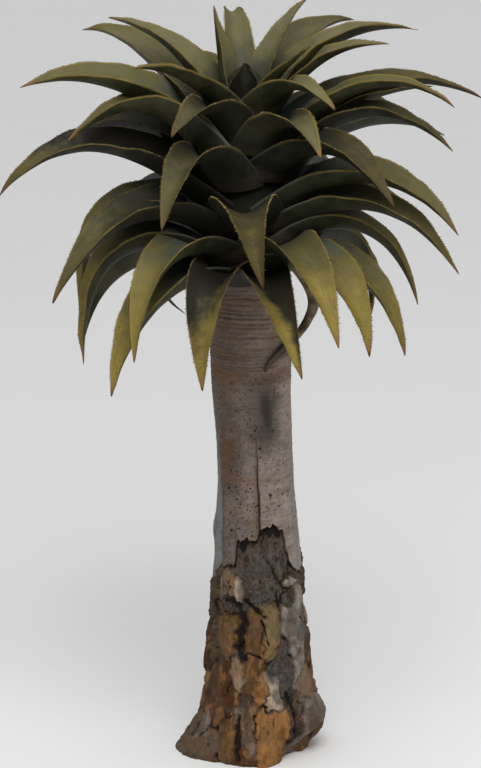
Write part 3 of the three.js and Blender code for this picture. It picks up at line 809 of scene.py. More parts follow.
# %% Skin tones
def skin_tones(skin):
    """Each point's tone: the plain skin with painted light on the right, then coats of colour in order,
    some of them painted shade.
    """
    azimuth, height, flat, soft = skin.azimuth, skin.height, skin.flat, skin.soft
    across, seamed, streaky = skin.across, skin.seamed, skin.streaky

    def patch(where, spread, low, high, fade):
        upright = ease(height, low - fade, low + fade) * fade_out(height, high - fade, high + fade)
        return hump(turn_from(azimuth, where), spread) * upright

    # Painted light: the skin is painted lighter on the right side and darker on the left, as if lit from
    # the right.
    painted_side_light = np.maximum(0.84 + 0.58 * np.cos(np.radians(azimuth - 80)), 0.63)
    mottle = 0.17 * soft + 0.12 * cloud(flat, 14, 71, 3) + 0.17 * cloud(flat, 5, 105, 2)
    tone = np.multiply.outer(painted_side_light * (1 + mottle + 0.13 * skin.wrinkle), SKIN_TONES["skin"])
    ringed = ease(height, 930, 970)
    patchy = ease(cloud(flat, 45, 79, 2), -0.5, 0.6)
    stripes = hump((skin.wander - 1165) % 46 - 23, 9) * ringed
    band = hump(skin.wander - 950, 20) * (0.3 + 0.6 * patchy)
    left = 1 - ease(turn_from(azimuth, 40), -8, 8)
    blotchy = ease(streaky + 0.6 * soft + 0.5 * cloud(flat, 9, 111, 2), -0.7, 0.5)
    rusty = ease(cloud(flat * (0.25, 0.25, 1), 20, 119, 2), 0.2, 0.7)
    specks = ease(cloud(flat, 4.5, 115, 1), 0.45, 0.8) * ease(cloud(flat, 60, 117, 2), -0.2, 0.5)
    specks *= (0.3 + 0.3 * fade_out(height, 640, 760)) * fade_out(height, 800, 900)
    worn = np.clip(0.66 + 0.4 * streaky + 0.3 * cloud(flat, 10, 123, 2), 0.2, 0.92)
    edge_line = hump(turn_from(azimuth, skin.border), 1.4) * fade_out(height, 700, 860)
    coats = [
        (0.25 * ringed, "ring"),
        (0.8 * skin.groove, "line"),
        (0.55 * patchy * stripes, "ring"),
        (0.7 * band, "ring"),
        (0.25 * hump(height - 925, 38) * left, "shade"),
        (patch(-40, 20, 690, 890, 50) * (0.3 + 0.7 * blotchy), "stain"),
        (0.6 * patch(-46, 12, 720, 870, 40) * blotchy, "ring"),
        (0.36 * rusty, "ring"),
        (specks, "smudge_and_shade"),
        (0.6 * patch(-56, 5, 520, 780, 40) * (0.8 + 0.4 * streaky), "stain"),
        # Painted shadow of the leaves: a soft dark patch on the right of the neck under the crown.
        (patch(21, 22, 775, 935, 45) * (0.92 + 0.2 * soft + 0.2 * streaky), "smudge_and_shade"),
        (0.75 * patch(-1, 9, 795, 815, 14) * (0.6 + 0.6 * soft), "smudge_and_shade"),
        (skin.strip * worn, "slate"),
        (0.6 * edge_line, "stain"),
        (0.55 * patch(68, 11, 440, 800, 60), "slate"),
        (0.85 * seamed * hump(across + 0.1, 1, 4), "seam"),
        # Painted shade: a dark band beside the seam, on its right, where the fold lies in shade.
        (0.5 * seamed * hump(across - 0.7, 0.45), "smudge_and_shade"),
        # Painted shade: the trunk inside the crown is painted almost black.
        (ease(height, 1200, 1260), "crown_shade"),
        (ease(height, 1600, 1640), "bud"),
    ]
    for share, name in coats:
        tone = tinted(tone, share, SKIN_TONES[name])
    return np.clip(tone, DARKEST, 1)


skin_tone = skin_tones(skin)
print("skin from tone", skin_tone.min().round(3), "to", skin_tone.max().round(3))

# %% Neck piece
# The torn edge folds in under itself: how deep and how far up each row of the fold lies.
TORN_FOLD = ((16, 22), (9, 5), (3, 0.6))
LIP = 1.2  # millimetres that the skin stands off above its torn edge
skin_radius = trunk_radius(skin_azimuth, skin_height) + skin_out
skin_radius = skin_radius + LIP * fade_out(skin_height, 560, 700)
skin_rows = np.concatenate([
    *[on_trunk(skin_turns, skin_height[0] + up, skin_radius[0] - deep)[None] for deep, up in TORN_FOLD],
    on_trunk(skin_azimuth, skin_height, skin_radius),
])
fold = len(TORN_FOLD)
# Painted shade under the torn lip: the folded rows are darkened by a crack value of one half and a tone
# at seven tenths.
skin_crack = np.concatenate([np.full((fold, SKIN_COLUMNS), 0.5), skin_crack])
skin_tone = np.concatenate([np.repeat(skin_tone[:1] * 0.7, fold, axis=0), skin_tone])
trunk_neck = closed_rows("trunk_neck", skin_rows, skin_crack, skin_tone, smooth_neck)

# %% [markdown]
# ## The leaf's rule
# A leaf leaves the trunk at its own angle, arches over and ends at its tip. Its section is a
# shallow channel over a thick keel, and its foot clasps the trunk. Every leaf is told by nine
# numbers: azimuth, height of its base, rise, reach of its tip, height of its tip, width, how late
# it bends, how far its tip sways aside, and how far it twists.

# %% Leaf table
LEAF_TIERS = {
    "heart": [
        (0, 1600, 78, 62, 1700, 86, 1, 0, 0), (130, 1612, 77, 188, 1824, 88, 1.01, -4, 4),
        (-111, 1617, 79, 76, 1822, 96, 1.1, 2, 3), (-168, 1608, 71, 326, 1748, 90, 1.21, -33, 5),
        (60, 1609, 55, 177, 1742, 65, 1.02, 0, 0),
    ],
    "upper": [
        (-106, 1570, 65, 346, 1780, 128, 1.04, -29, -4),
        (-120, 1539, 44, 485, 1728, 170, 1.37, -49, -14),
        (-55, 1587, 46, 316, 1706, 116, 1.05, 3, 1), (-156, 1540, 48, 400, 1640, 120, 1, 0, 0),
        (139, 1596, 55, 395, 1752, 143, 1.03, -8, 9), (103, 1588, 57, 420, 1757, 139, 1.08, -2, 0),
        (82, 1574, 58, 337, 1741, 108, 1.15, 10, 14), (45, 1590, 49, 289, 1611, 114, 0.98, 1, 0),
    ],
    "high": [
        (-29, 1540, 49, 318, 1560, 137, 1.03, -16, -3), (-71, 1469, 57, 435, 1524, 175, 1.09, -15, 7),
        (-82, 1503, 46, 532, 1644, 198, 1.17, 0, -12), (-104, 1501, 41, 329, 1561, 154, 1.02, 13, 1),
        (-159, 1525, 46, 489, 1638, 127, 1.01, -11, 3), (172, 1500, 48, 510, 1590, 140, 1, 0, 0),
        (132, 1496, 39, 486, 1530, 132, 0.95, -9, 6), (97, 1514, 40, 558, 1600, 141, 1.15, -22, 5),
        (80, 1500, 47, 494, 1601, 121, 1.32, -14, 0), (96, 1471, 48, 444, 1626, 107, 0.96, 10, -4),
        (32, 1510, 49, 320, 1514, 139, 1.03, 0, -1),
    ],
    "middle": [
        (-33, 1430, 47, 371, 1355, 152, 1, 9, 0), (-80, 1387, 38, 590, 1391, 168, 1.25, -6, -16),
        (-112, 1419, 45, 520, 1441, 140, 1, -2, -4), (-140, 1450, 40, 515, 1470, 145, 1, 0, 0),
        (-175, 1432, 39, 518, 1450, 152, 1.15, -2, -1), (150, 1440, 44, 510, 1490, 145, 1, 0, 0),
        (118, 1429, 39, 557, 1470, 148, 0.99, 21, 1), (83, 1457, 49, 486, 1485, 137, 1.08, 31, 4),
        (51, 1456, 39, 427, 1395, 165, 0.93, 6, 3), (66, 1377, 33, 539, 1326, 170, 1.06, -18, 7),
    ],
    "low": [
        (-4, 1344, 21, 522, 1261, 171, 1.5, 71, 3), (-62, 1328, 26, 510, 1166, 176, 0.89, -1, -6),
        (-89, 1327, 22, 397, 1101, 168, 1.09, 22, -15), (-129, 1343, 23, 491, 1212, 157, 0.94, -3, -8),
        (-164, 1340, 30, 510, 1230, 150, 1, 0, 0), (155, 1349, 29, 521, 1248, 152, 1.08, 3, -2),
        (123, 1344, 28, 521, 1217, 141, 0.85, -19, 13), (66, 1333, 27, 526, 1227, 149, 1.05, 19, 2),
    ],
    "skirt": [
        (9, 1213, 9, 524, 1053, 128, 0.87, 34, -3), (-20, 1214, 19, 332, 976, 144, 0.93, 4, 3),
        (-45, 1269, 18, 392, 1038, 154, 0.85, 17, 4), (-53, 1220, 0, 394, 942, 176, 0.87, -11, -1),
        (-75, 1254, 21, 412, 995, 161, 1.02, 28, 3), (-109, 1232, 4, 403, 1007, 151, 1.13, 53, 8),
        (-142, 1250, 16, 400, 1010, 150, 1, 0, 0), (-174, 1240, 14, 410, 1040, 150, 1, 0, 0),
        (152, 1250, 16, 390, 1010, 150, 1, 0, 0), (125, 1259, 15, 405, 1053, 150, 0.86, 3, 14),
        (100, 1273, 17, 291, 1079, 152, 1.01, -25, 4), (77, 1299, 22, 405, 1125, 137, 0.94, 25, -7),
        (60, 1246, 9, 412, 1031, 139, 1.02, 13, 7), (42, 1241, 15, 406, 1054, 164, 1.03, 5, 7),
        (26, 1279, 16, 449, 1099, 154, 0.86, 7, -1),
    ],
}
print("leaves:", sum(len(leaves) for leaves in LEAF_TIERS.values()))

# %% Leaves that differ
# By tier and number: how much lighter it is painted than its tier, for its tint and as painted light
# and shade, how dark the painted shade on its half near the base is, to which margin that shade
# leans, and how much yellower it is.
OWN_LOOK = {
    ("heart", 1): (-9, 0.85, 0, -2), ("upper", 5): (-4, 0, 0, 0), ("high", 1): (-5, 0.6, 0, 0),
    ("high", 2): (0, 0.3, 0, 0), ("high", 8): (-8, 0, 0, 0.2), ("high", 11): (0, 0.5, 0, 0),
    ("middle", 1): (0, 0.3, 0, 0.1), ("middle", 2): (0, 0.97, -0.6, 0.1),
    ("middle", 3): (-6, 0.9, 0, 0), ("middle", 8): (0, 0.5, 0, 0), ("middle", 9): (-4, 0, 0, 0.5),
    ("low", 1): (-7, 0.25, 0, 0.4), ("low", 2): (-1, 0.7, 0, 0), ("low", 3): (1, 0, 0, 0),
    ("low", 4): (4, 0, 0, -1.1), ("skirt", 1): (0.5, 0.97, 1, 0.35),
    ("skirt", 2): (4, 0.97, -0.4, 0), ("skirt", 3): (5, 0, 0, -0.12), ("skirt", 4): (5, 0.2, 0, 0),
    ("skirt", 5): (2, 0.3, 0, 0), ("skirt", 11): (0, 0, 0, -1.4), ("skirt", 14): (3, 0, 0, 0.05),
    ("skirt", 15): (4, 0.2, 0, 0.05),
}
PLAIN_LOOK = (0, 0, 0, 0)
# How much lighter each tier is painted: painted light and shade, lightest on the high tier and darkest
# in the middle tier.
TIER_TINT_AND_SHADE = {"heart": 0, "upper": 0, "high": 2, "middle": -3, "low": -1, "skirt": 0}
TIER_AGE = {"heart": 0.05, "upper": 0.1, "high": 0.15, "middle": 0.25, "low": 0.4, "skirt": 0.9}
# Small buds close over the growing tip. An age this low leaves out gold margins, scorch and teeth.
HEART_BUDS = [
    (-150 + 60 * i, 1606, 82, 5 + 4 * (i % 2), 1676 + 5 * (i % 3), 46, 1, 0, 0) for i in range(6)
]
BUD_LOOK = (-4, 0, 0, -2)
OPEN_AGE = (-1.7, -1.5)
print("leaves with a look of their own:", len(OWN_LOOK), "buds:", len(HEART_BUDS))

# %% Midribs
CHANNEL = 0.58  # how deep the channel is, in half widths
SUNK = 0.14  # how far the channel's floor lies below the midrib
TAPER = 1.35  # the higher, the nearer the tip the blade narrows
BLUNT, PINCH, PINCH_LATE = 5.2, 0.72, 40  # the tip's half width, and how it closes at the end
CLASP, FLARE = 0.3, 0.3  # share of the leaf that clasps the trunk, and how it widens there
SHEATH = 4  # millimetres that the foot runs down the trunk
SUNWARD = 3  # degrees that side leaves roll to the front
RIB_POINTS = 49
leaf_share = np.linspace(0, 1, RIB_POINTS)


def leaf_arc(base, rise, reach, tip, late):
    """Points of a leaf's arch, evenly spaced: distance from the axis, and height."""
    start = np.array([np.interp(base, *zip(*TRUNK_RADIUS)), base])
    end = np.array([reach, tip])
    heading = np.array([math.cos(math.radians(rise)), math.sin(math.radians(rise))])
    length = np.linalg.norm(end - start)
    arm = late * length**2 / (2 * max((end - start) @ heading, 0.6 * length))
    bend = start + heading * arm
    fine = np.linspace(0, 1, 400)[:, None]
    arc = start * (1 - fine) ** 2 + 2 * bend * fine * (1 - fine) + end * fine**2
    run = np.append(0, np.cumsum(np.linalg.norm(np.diff(arc, axis=0), axis=1)))
    return np.stack([np.interp(leaf_share * run[-1], run, arc[:, i]) for i in (0, 1)], axis=-1)


def midrib(leaf, look, age, chance):
    """One leaf's midrib: its points, and at each the directions and sizes that the blade needs."""
    azimuth, base, rise, reach, tip, width, late, aside, own_twist = leaf
    tint_and_shade, painted_shade, lean, older = look
    spot = leaf_arc(base, rise, reach, tip, late)
    way = np.gradient(spot, axis=0)
    way /= np.linalg.norm(way, axis=1)[:, None]
    out, side, up = outward(azimuth), sideways(azimuth), np.array([0, 0, 1.0])
    upper = -way[:, 1:] * out + way[:, :1] * up
    axis = np.array([even_line(TRUNK_LEAN, base), 0, 0])
    sway = (aside * leaf_share**2)[:, None] * side
    twist = (np.radians(own_twist) * np.sqrt(leaf_share))[:, None]
    clasp = np.maximum(0, 1 - leaf_share / CLASP) ** 2
    blade = 0.5 * width * (1 - leaf_share**TAPER)
    half_width = np.hypot(blade, BLUNT * (1 - PINCH * leaf_share**PINCH_LATE)) * (1 + FLARE * clasp)
    roll = math.sin(math.radians(SUNWARD)) * math.sin(math.radians(azimuth))
    blank = np.zeros(RIB_POINTS)
    return {
        "place": axis + spot[:, :1] * out + spot[:, 1:] * up + sway,
        "side": side * np.cos(twist) + upper * np.sin(twist),
        "upper": upper * np.cos(twist) - side * np.sin(twist),
        "out": np.tile(out, (RIB_POINTS, 1)),
        "way": way[:, :1] * out + way[:, 1:] * up,
        "half_width": half_width,
        "clasp": clasp,
        "spot": np.maximum(spot[:, 0], half_width),
        "sheath": SHEATH * max(math.cos(math.radians(rise)) ** 2, 0.5) * clasp,
        "roll": roll * (1 - clasp),
        "share": leaf_share,
        "tint_and_shade": blank + tint_and_shade + chance.uniform(-1, 1),
        "age": blank + age + older + chance.uniform(-0.12, 0.12),
        "painted_shade": blank + painted_shade,
        "lean": blank + lean,
    }


def rib_object(name, ribs):
    """All midribs of a tier as one object of edges, with what the blades need stored by point."""
    table = {key: np.concatenate([rib[key] for rib in ribs]) for key in ribs[0]}
    for key in ("place", "half_width", "spot", "sheath"):
        table[key] = table[key] * MM
    table["leaf"] = np.repeat(np.arange(len(ribs)), RIB_POINTS)
    first = np.flatnonzero(np.diff(table["leaf"], append=-1) == 0)
    mesh = bpy.data.meshes.new(name)
    points = table.pop("place").tolist()
    mesh.from_pydata(points, np.stack([first, first + 1], axis=-1).tolist(), [])
    for key, numbers in table.items():
        store(mesh, key, numbers)
    return placed(name, mesh)


print("points along a midrib:", RIB_POINTS)

# %% [markdown]
# ## The blade as Geometry Nodes
# A blade is one section swept along a midrib, which is what Curve to Mesh does. The section is
# drawn once at unit half width. After the sweep each point is moved: the channel flattens at the
# base, the foot wraps round the trunk and runs down it as a sheath, side leaves roll a little
# to the front, and a slow wave runs along the margins.

# %% Leaf section
CHANNEL_CURVE = 1.8


def section_object(name, across, top, bottom):
    """A closed section: along the underside from the left margin to the right, and back on top."""
    lower = np.stack([across, bottom, np.zeros_like(across)], axis=-1)
    upper = np.stack([across, top, np.zeros_like(across)], axis=-1)[-2:0:-1]
    points = np.concatenate([lower, upper])
    count = len(points)
    mesh = bpy.data.meshes.new(name)
    mesh.from_pydata(points.tolist(), [(i, (i + 1) % count) for i in range(count)], [])
    store(mesh, "across", points[:, 0])
    store(mesh, "under", np.append(np.abs(across) < 0.99, np.zeros(len(upper))))
    store(mesh, "turn", np.arange(count) / count)
    return placed(name, mesh)


blade_across = np.sin(np.linspace(-np.pi / 2, np.pi / 2, 14))
blade_top = CHANNEL * np.abs(blade_across) ** CHANNEL_CURVE - SUNK
blade_keel = 0.02 + 0.24 * (1 - blade_across**2) ** 0.8
blade_keel[[0, -1]] = 0
leaf_section = section_object("leaf_section", blade_across, blade_top, blade_top - blade_keel)
print("points round a leaf:", len(leaf_section.data.vertices))

# %% Geometry tree helpers
def geometry_tree(name, inputs):
    """A new geometry tree, the sockets it is given and the socket it fills."""
    tree = bpy.data.node_groups.new(name, "GeometryNodeTree")
    tree.interface.new_socket("Geometry", in_out="INPUT", socket_type="NodeSocketGeometry")
    for label, kind in inputs.items():
        tree.interface.new_socket(label, in_out="INPUT", socket_type=kind)
    tree.interface.new_socket("Geometry", in_out="OUTPUT", socket_type="NodeSocketGeometry")
    return tree, add(tree, "NodeGroupInput").outputs, add(tree, "NodeGroupOutput").inputs


def field(tree, name):
    """The number that is stored under a name on each point."""
    return add(tree, "GeometryNodeInputNamedAttribute", {"Name": name}).outputs["Attribute"]


def arrow(tree, name):
    """The direction or place that is stored under a name on each point."""
    kind = "GeometryNodeInputNamedAttribute"
    return add(tree, kind, {"Name": name}, data_type="FLOAT_VECTOR").outputs["Attribute"]


def grown(name, source, tree, sizes):
    """What a tree makes from an object, as a plain mesh piece. Sizes are the tree's named inputs."""
    modifier = source.modifiers.new("grow", "NODES")
    modifier.node_group = tree
    for socket in tree.interface.items_tree:
        if socket.in_out == "INPUT" and socket.name in sizes:
            modifier[socket.identifier] = sizes[socket.name]
    bpy.context.view_layer.update()
    ready = source.evaluated_get(bpy.context.evaluated_depsgraph_get())
    mesh = bpy.data.meshes.new_from_object(ready)
    mesh.name = name
    source.modifiers.remove(modifier)
    return placed(name, mesh)


print("geometry tree helpers ready")

# %% Blade tree
def blade_tree():
    number = "NodeSocketFloat"
    tree, given, result = geometry_tree(
        "Leaf blades",
        {"Section": "NodeSocketObject", "Channel": number, "Wave Height": number,
         "Wave Size": number, "Seed": number, "Finish": "NodeSocketMaterial"},
    )
    times, plus, less, times_plus = short_sums(tree)
    scaled, joined = partial(vector_sum, tree, "SCALE"), partial(vector_sum, tree, "ADD")
    side, upper = arrow(tree, "side"), arrow(tree, "upper")
    half, clasp, spot = field(tree, "half_width"), field(tree, "clasp"), field(tree, "spot")
    across = field(tree, "across")
    place = add(tree, "GeometryNodeInputPosition").outputs[0]

    # Sweep the section along every midrib, which each point remembers.
    ribs = add(tree, "GeometryNodeMeshToCurve", {"Mesh": given["Geometry"]}).outputs[0]
    memory = {"Geometry": ribs, "Name": "rib", "Value": place}
    kept = add(tree, "GeometryNodeStoreNamedAttribute", memory, data_type="FLOAT_VECTOR", domain="POINT")
    aim = {"Curve": kept.outputs[0], "Normal": side}
    aimed = add(tree, "GeometryNodeSetCurveNormal", aim, mode="FREE").outputs[0]
    outline = add(tree, "GeometryNodeObjectInfo", {"Object": given["Section"]}).outputs["Geometry"]
    outline = add(tree, "GeometryNodeMeshToCurve", {"Mesh": outline}).outputs[0]
    sweep = {"Curve": aimed, "Profile Curve": outline, "Scale": half, "Fill Caps": True}
    swept = add(tree, "GeometryNodeCurveToMesh", sweep).outputs[0]

    # Lift along the upper side: the channel flattens at the base, side leaves roll, margins wave.
    from_rib = vector_sum(tree, "SUBTRACT", place, arrow(tree, "rib"))
    reach = vector_sum(tree, "DOT_PRODUCT", from_rib, side)
    wide = sum_of(tree, "ABSOLUTE", across)
    channel = times(sum_of(tree, "POWER", wide, CHANNEL_CURVE), times(half, given["Channel"]))
    rolled = times_plus(reach, field(tree, "roll"), times(channel, times(clasp, -1.0)))
    noise = {"Vector": place, "W": given["Seed"], "Scale": given["Wave Size"], "Detail": 1.0}
    drift = add(tree, "ShaderNodeTexNoise", noise, noise_dimensions="4D").outputs[0]
    wave = times(less(drift, 0.5), given["Wave Height"])
    wave = times(wave, times(wide, less(1.0, clasp)))
    lift = scaled(upper, plus(rolled, wave))

    # The foot wraps round the trunk, and its underside runs down as a sheath.
    bend = sum_of(tree, "DIVIDE", reach, spot)
    inward = times(times(clasp, spot), less(sum_of(tree, "COSINE", bend), 1.0))
    wrapped = less(times(spot, sum_of(tree, "SINE", bend)), reach)
    hug = joined(scaled(arrow(tree, "out"), inward), scaled(side, times(wrapped, clasp)))
    drop = times(field(tree, "sheath"), times(field(tree, "under"), -1.0))
    drop = add(tree, "ShaderNodeCombineXYZ", {"Z": drop}).outputs[0]
    move = joined(joined(lift, hug), drop)

    shaped = add(tree, "GeometryNodeSetPosition", {"Geometry": swept, "Offset": move}).outputs[0]
    smooth = add(tree, "GeometryNodeSetShadeSmooth", {"Geometry": shaped}).outputs[0]
    real = add(tree, "GeometryNodeRealizeInstances", {"Geometry": smooth}).outputs[0]
    finish = {"Geometry": real, "Material": given["Finish"]}
    tree.links.new(add(tree, "GeometryNodeSetMaterial", finish).outputs[0], result["Geometry"])
    return tree


leaf_blades = blade_tree()
print("nodes in the blade tree:", len(leaf_blades.nodes))

# %% [markdown]
# ## A map for painting
# Each piece gets a flat map that its colours can be painted onto. A leaf is a tube, so it unrolls
# into one strip: round the section one way, from base to tip the other way. The strips of a tier lie
# side by side in two rows.

# %% Strip map
STRIP_WIDTH, STRIP_LENGTH, CAP_SIZE = 0.94, 0.97, 0.008


def strip_map(piece):
    """A map on which every leaf of a piece is one strip. The small end caps lie below the strips."""
    mesh = piece.data
    corner = np.empty(len(mesh.loops), dtype=np.int32)
    mesh.loops.foreach_get("vertex_index", corner)
    first = np.empty(len(mesh.polygons), dtype=np.int32)
    mesh.polygons.foreach_get("loop_start", first)
    sides = np.diff(first, append=len(corner))
    table = {}
    for key in ("turn", "share", "leaf"):
        held = np.empty(len(mesh.vertices), dtype=np.float32)
        mesh.attributes[key].data.foreach_get("value", held)
        table[key] = held[corner]
    # The face that closes a section runs on past its end, so that the strip isn't torn there.
    last = np.repeat(np.maximum.reduceat(table["turn"], first) > 0.7, sides)
    turn = table["turn"] + (last & (table["turn"] < 0.3))
    number = np.round(table["leaf"])
    strips = int(number.max()) + 1
    columns = math.ceil(strips / 2)
    spread = np.stack([
        (number % columns + 0.03 + STRIP_WIDTH * turn) / columns,
        0.05 + 0.475 * (number // columns + 0.015 + STRIP_LENGTH * table["share"]),
    ], axis=-1)
    cap = np.repeat(sides > 4, sides)
    order = np.repeat(np.cumsum(sides > 4), sides)[cap]
    angle = 2 * np.pi * table["turn"][cap]
    spread[cap, 0] = order / (2 * strips + 1) + CAP_SIZE * np.cos(angle)
    spread[cap, 1] = 0.02 + CAP_SIZE * np.sin(angle)
    mesh.uv_layers.new(name="OFBake").data.foreach_set("uv", spread.astype(np.float32).ravel())


print("strip map ready")

# %% [markdown]
# ## Leaf colours
# A kokerboom leaf is olive with a thin blue-grey bloom near its base. Old leaves yellow from the
# tip and get brown freckles. Margins are gold, tips scorch brown, and undersides are painted dark
# as painted shade. Painted shade also darkens the half near the base of some leaves. The shader
# group reads where a point lies on its own leaf, so the colours follow every bend.

# %% Shader group for leaf colours
def stored(tree, name):
    """The number that is stored under a name on a piece."""
    return add(tree, "ShaderNodeAttribute", attribute_name=name).outputs["Fac"]


def leaf_colour_group():
    paint = "NodeSocketColor"
    tree, given, result = shader_group(
        "leaf_colour",
        [("Face", paint, (0.09, 0.083, 0.033, 1)), ("Old", paint, (0.215, 0.157, 0.03, 1)),
         ("Bloom", paint, (0.072, 0.09, 0.086, 1)), ("Shaded underside", paint, (0.032, 0.033, 0.013, 1)),
         ("Margin", paint, (0.21, 0.152, 0.03, 1)), ("Scorch", paint, (0.18, 0.1, 0.032, 1)),
         ("Foot", paint, (0.13, 0.098, 0.078, 1))],
        [("Colour", paint), ("Height", "NodeSocketFloat")],
    )
    times, plus, less, times_plus = short_sums(tree)
    eased, mixed = partial(ramp, tree), partial(blended, tree)
    share, across, under = stored(tree, "share"), stored(tree, "across"), stored(tree, "under")
    age = stored(tree, "age")
    spot = object_spot(tree)
    blotch = grain_of(tree, spot, 0.05, 3)
    rusty = grain_of(tree, spot, 0.016, 4, 0.65)
    freckle = grain_of(tree, spot, 0.006, 3, 0.6)
    pitting = grain_of(tree, spot, 0.0022, 2)
    along = add(tree, "ShaderNodeCombineXYZ", {0: across, 1: share, 2: stored(tree, "leaf")})
    streak = grain_of(tree, along.outputs[0], 1.0, 3, 0.6, (7, 3, 3.7))

    # From the base: bloom, then the plain face, then the yellow of age with rusty spots.
    ragged = times_plus(less(blotch, 0.5), 0.5, share)
    waxy = times_plus(sum_of(tree, "MINIMUM", age, 0.0), 0.6, ragged)
    waxy = plus(waxy, eased(age, 0.9, 1.02, 0.0, 0.3))
    skin = mixed(eased(waxy, 0.12, 0.46), given["Bloom"], given["Face"])
    yellow = times(eased(ragged, 0.22, 0.95), age, clamp=True)
    skin = mixed(yellow, skin, given["Old"])
    skin = mixed(eased(streak, 0.48, 0.72, 0, 0.45), skin, (0.7, 0.64, 0.5), "MULTIPLY")
    skin = mixed(times(eased(rusty, 0.55, 0.72), times(yellow, 0.7)), skin, (0.17, 0.085, 0.026))
    skin = mixed(times(eased(freckle, 0.56, 0.68), times(yellow, 0.9)), skin, (0.085, 0.05, 0.018))

    # The underside, painted dark as painted shade, and the foot that clasps the trunk.
    skin = mixed(times(under, 0.9), skin, given["Shaded underside"])
    underside_shade = times(under, eased(blotch, 0.42, 0.6, 0.65, 0))
    skin = mixed(underside_shade, skin, (0.4, 0.42, 0.36), "MULTIPLY")
    foot = times(eased(share, 0.09, 0.04), times(under, times(age, 1.2, clamp=True)))
    rings = grain_of(tree, spot, 0.007, 2, 0.5, (0.1, 0.1, 1))
    skin = mixed(foot, skin, given["Foot"])
    skin = mixed(times(foot, eased(rings, 0.52, 0.62)), skin, (0.07, 0.05, 0.039))

    # The gold margin and the scorched tip, which buds lack.
    open_leaf = eased(age, *OPEN_AGE)
    inset = times(less(1.0, sum_of(tree, "ABSOLUTE", across)), stored(tree, "half_width"))
    border = times(eased(inset, 0.0028, 0.0008), eased(share, 0.12, 0.4, 0.05, 0.85))
    skin = mixed(times(border, open_leaf), skin, given["Margin"])
    worn = times_plus(freckle, 0.08, share)
    skin = mixed(times(eased(worn, 0.945, 0.99, 0, 0.85), open_leaf), skin, given["Scorch"])
    skin = mixed(times(eased(worn, 1.01, 1.04, 0, 0.85), open_leaf), skin, (0.03, 0.018, 0.009))

    # Painted shade that leans to one margin, and each leaf's own tint, which also paints the light
    # and shade that falls on it.
    leaning = times_plus(stored(tree, "lean"), across, times_plus(ragged, -2.6, 1.9))
    painted_shade = times(eased(leaning, 0.0, 0.8), stored(tree, "painted_shade"))
    skin = mixed(painted_shade, skin, (0.014, 0.012, 0.007))
    shade = times_plus(blotch, 0.5, times_plus(stored(tree, "tint_and_shade"), 0.08, 0.75))
    shade = sum_of(tree, "MAXIMUM", shade, 0.2)
    tree.links.new(vector_sum(tree, "SCALE", skin, shade), result["Colour"])
    tree.links.new(times_plus(pitting, 0.4, plus(freckle, streak)), result["Height"])
    return tree


leaf_colour = leaf_colour_group()
print("leaf colour nodes:", len(leaf_colour.nodes))

# %% Leaf materials
def leaf_finish(name, rough, **tones):
    """A leaf finish. Tones given here take the place of the group's own."""
    finish, tree, skin = new_finish(name)
    coat = add(tree, "ShaderNodeGroup", node_tree=leaf_colour)
    for label, tone in tones.items():
        coat.inputs[label].default_value = (*tone, 1)
    height = coat.outputs["Height"]
    tree.links.new(coat.outputs["Colour"], skin["Base Color"])
    embossed(tree, skin, height, 0.18, 0.002)
    tree.links.new(ramp(tree, height, 0.6, 1.8, rough, rough + 0.2), skin["Roughness"])
    skin["Specular IOR Level"].default_value = 0.24
    return finish


young_tones = {"Face": (0.13, 0.117, 0.052), "Bloom": (0.068, 0.069, 0.042)}
young_skin = leaf_finish("young_leaf_skin", 0.5, **young_tones)
leaf_skin = leaf_finish("leaf_skin", 0.52)
print("leaf finishes:", young_skin.name, leaf_skin.name)

# %% [markdown]
# ## The rosette
# Each tier of the rosette grows as one piece. Its leaves differ a little in tint and age, all from
# one seed for the tier, and the lower a tier is, the older and yellower it looks. Tiers and some
# leaves are also painted lighter or darker for the light and shade that falls on them.

# %% Grow the blades
YOUNG_TIERS = ("heart", "upper")
tier_pieces = {}
for number, (tier, leaves) in enumerate(LEAF_TIERS.items()):
    chance = np.random.default_rng(100 + number)
    shown = [(leaf, OWN_LOOK.get((tier, i + 1), PLAIN_LOOK)) for i, leaf in enumerate(leaves)]
    if tier == "heart":
        shown += [(bud, BUD_LOOK) for bud in HEART_BUDS]
    ribs = rib_object(f"ribs_{tier}", [
        midrib(leaf, (look[0] + TIER_TINT_AND_SHADE[tier], *look[1:]), TIER_AGE[tier], chance)
        for leaf, look in shown
    ])
    tier_pieces[tier] = grown(f"leaves_{tier}", ribs, leaf_blades, {
        "Section": leaf_section, "Channel": CHANNEL, "Wave Height": 0.018, "Wave Size": 12.0,
        "Seed": float(number), "Finish": young_skin if tier in YOUNG_TIERS else leaf_skin,
    })
    bpy.data.objects.remove(ribs)
    print(tier, "faces:", len(tier_pieces[tier].data.polygons))

# %% [markdown]
# ## Teeth on the margins
# Fine, tan teeth stand along both margins. They repeat along a path, so a second tree turns each
# margin into a curve, spaces points along it and sets one small pyramid on each, leaning to the tip.

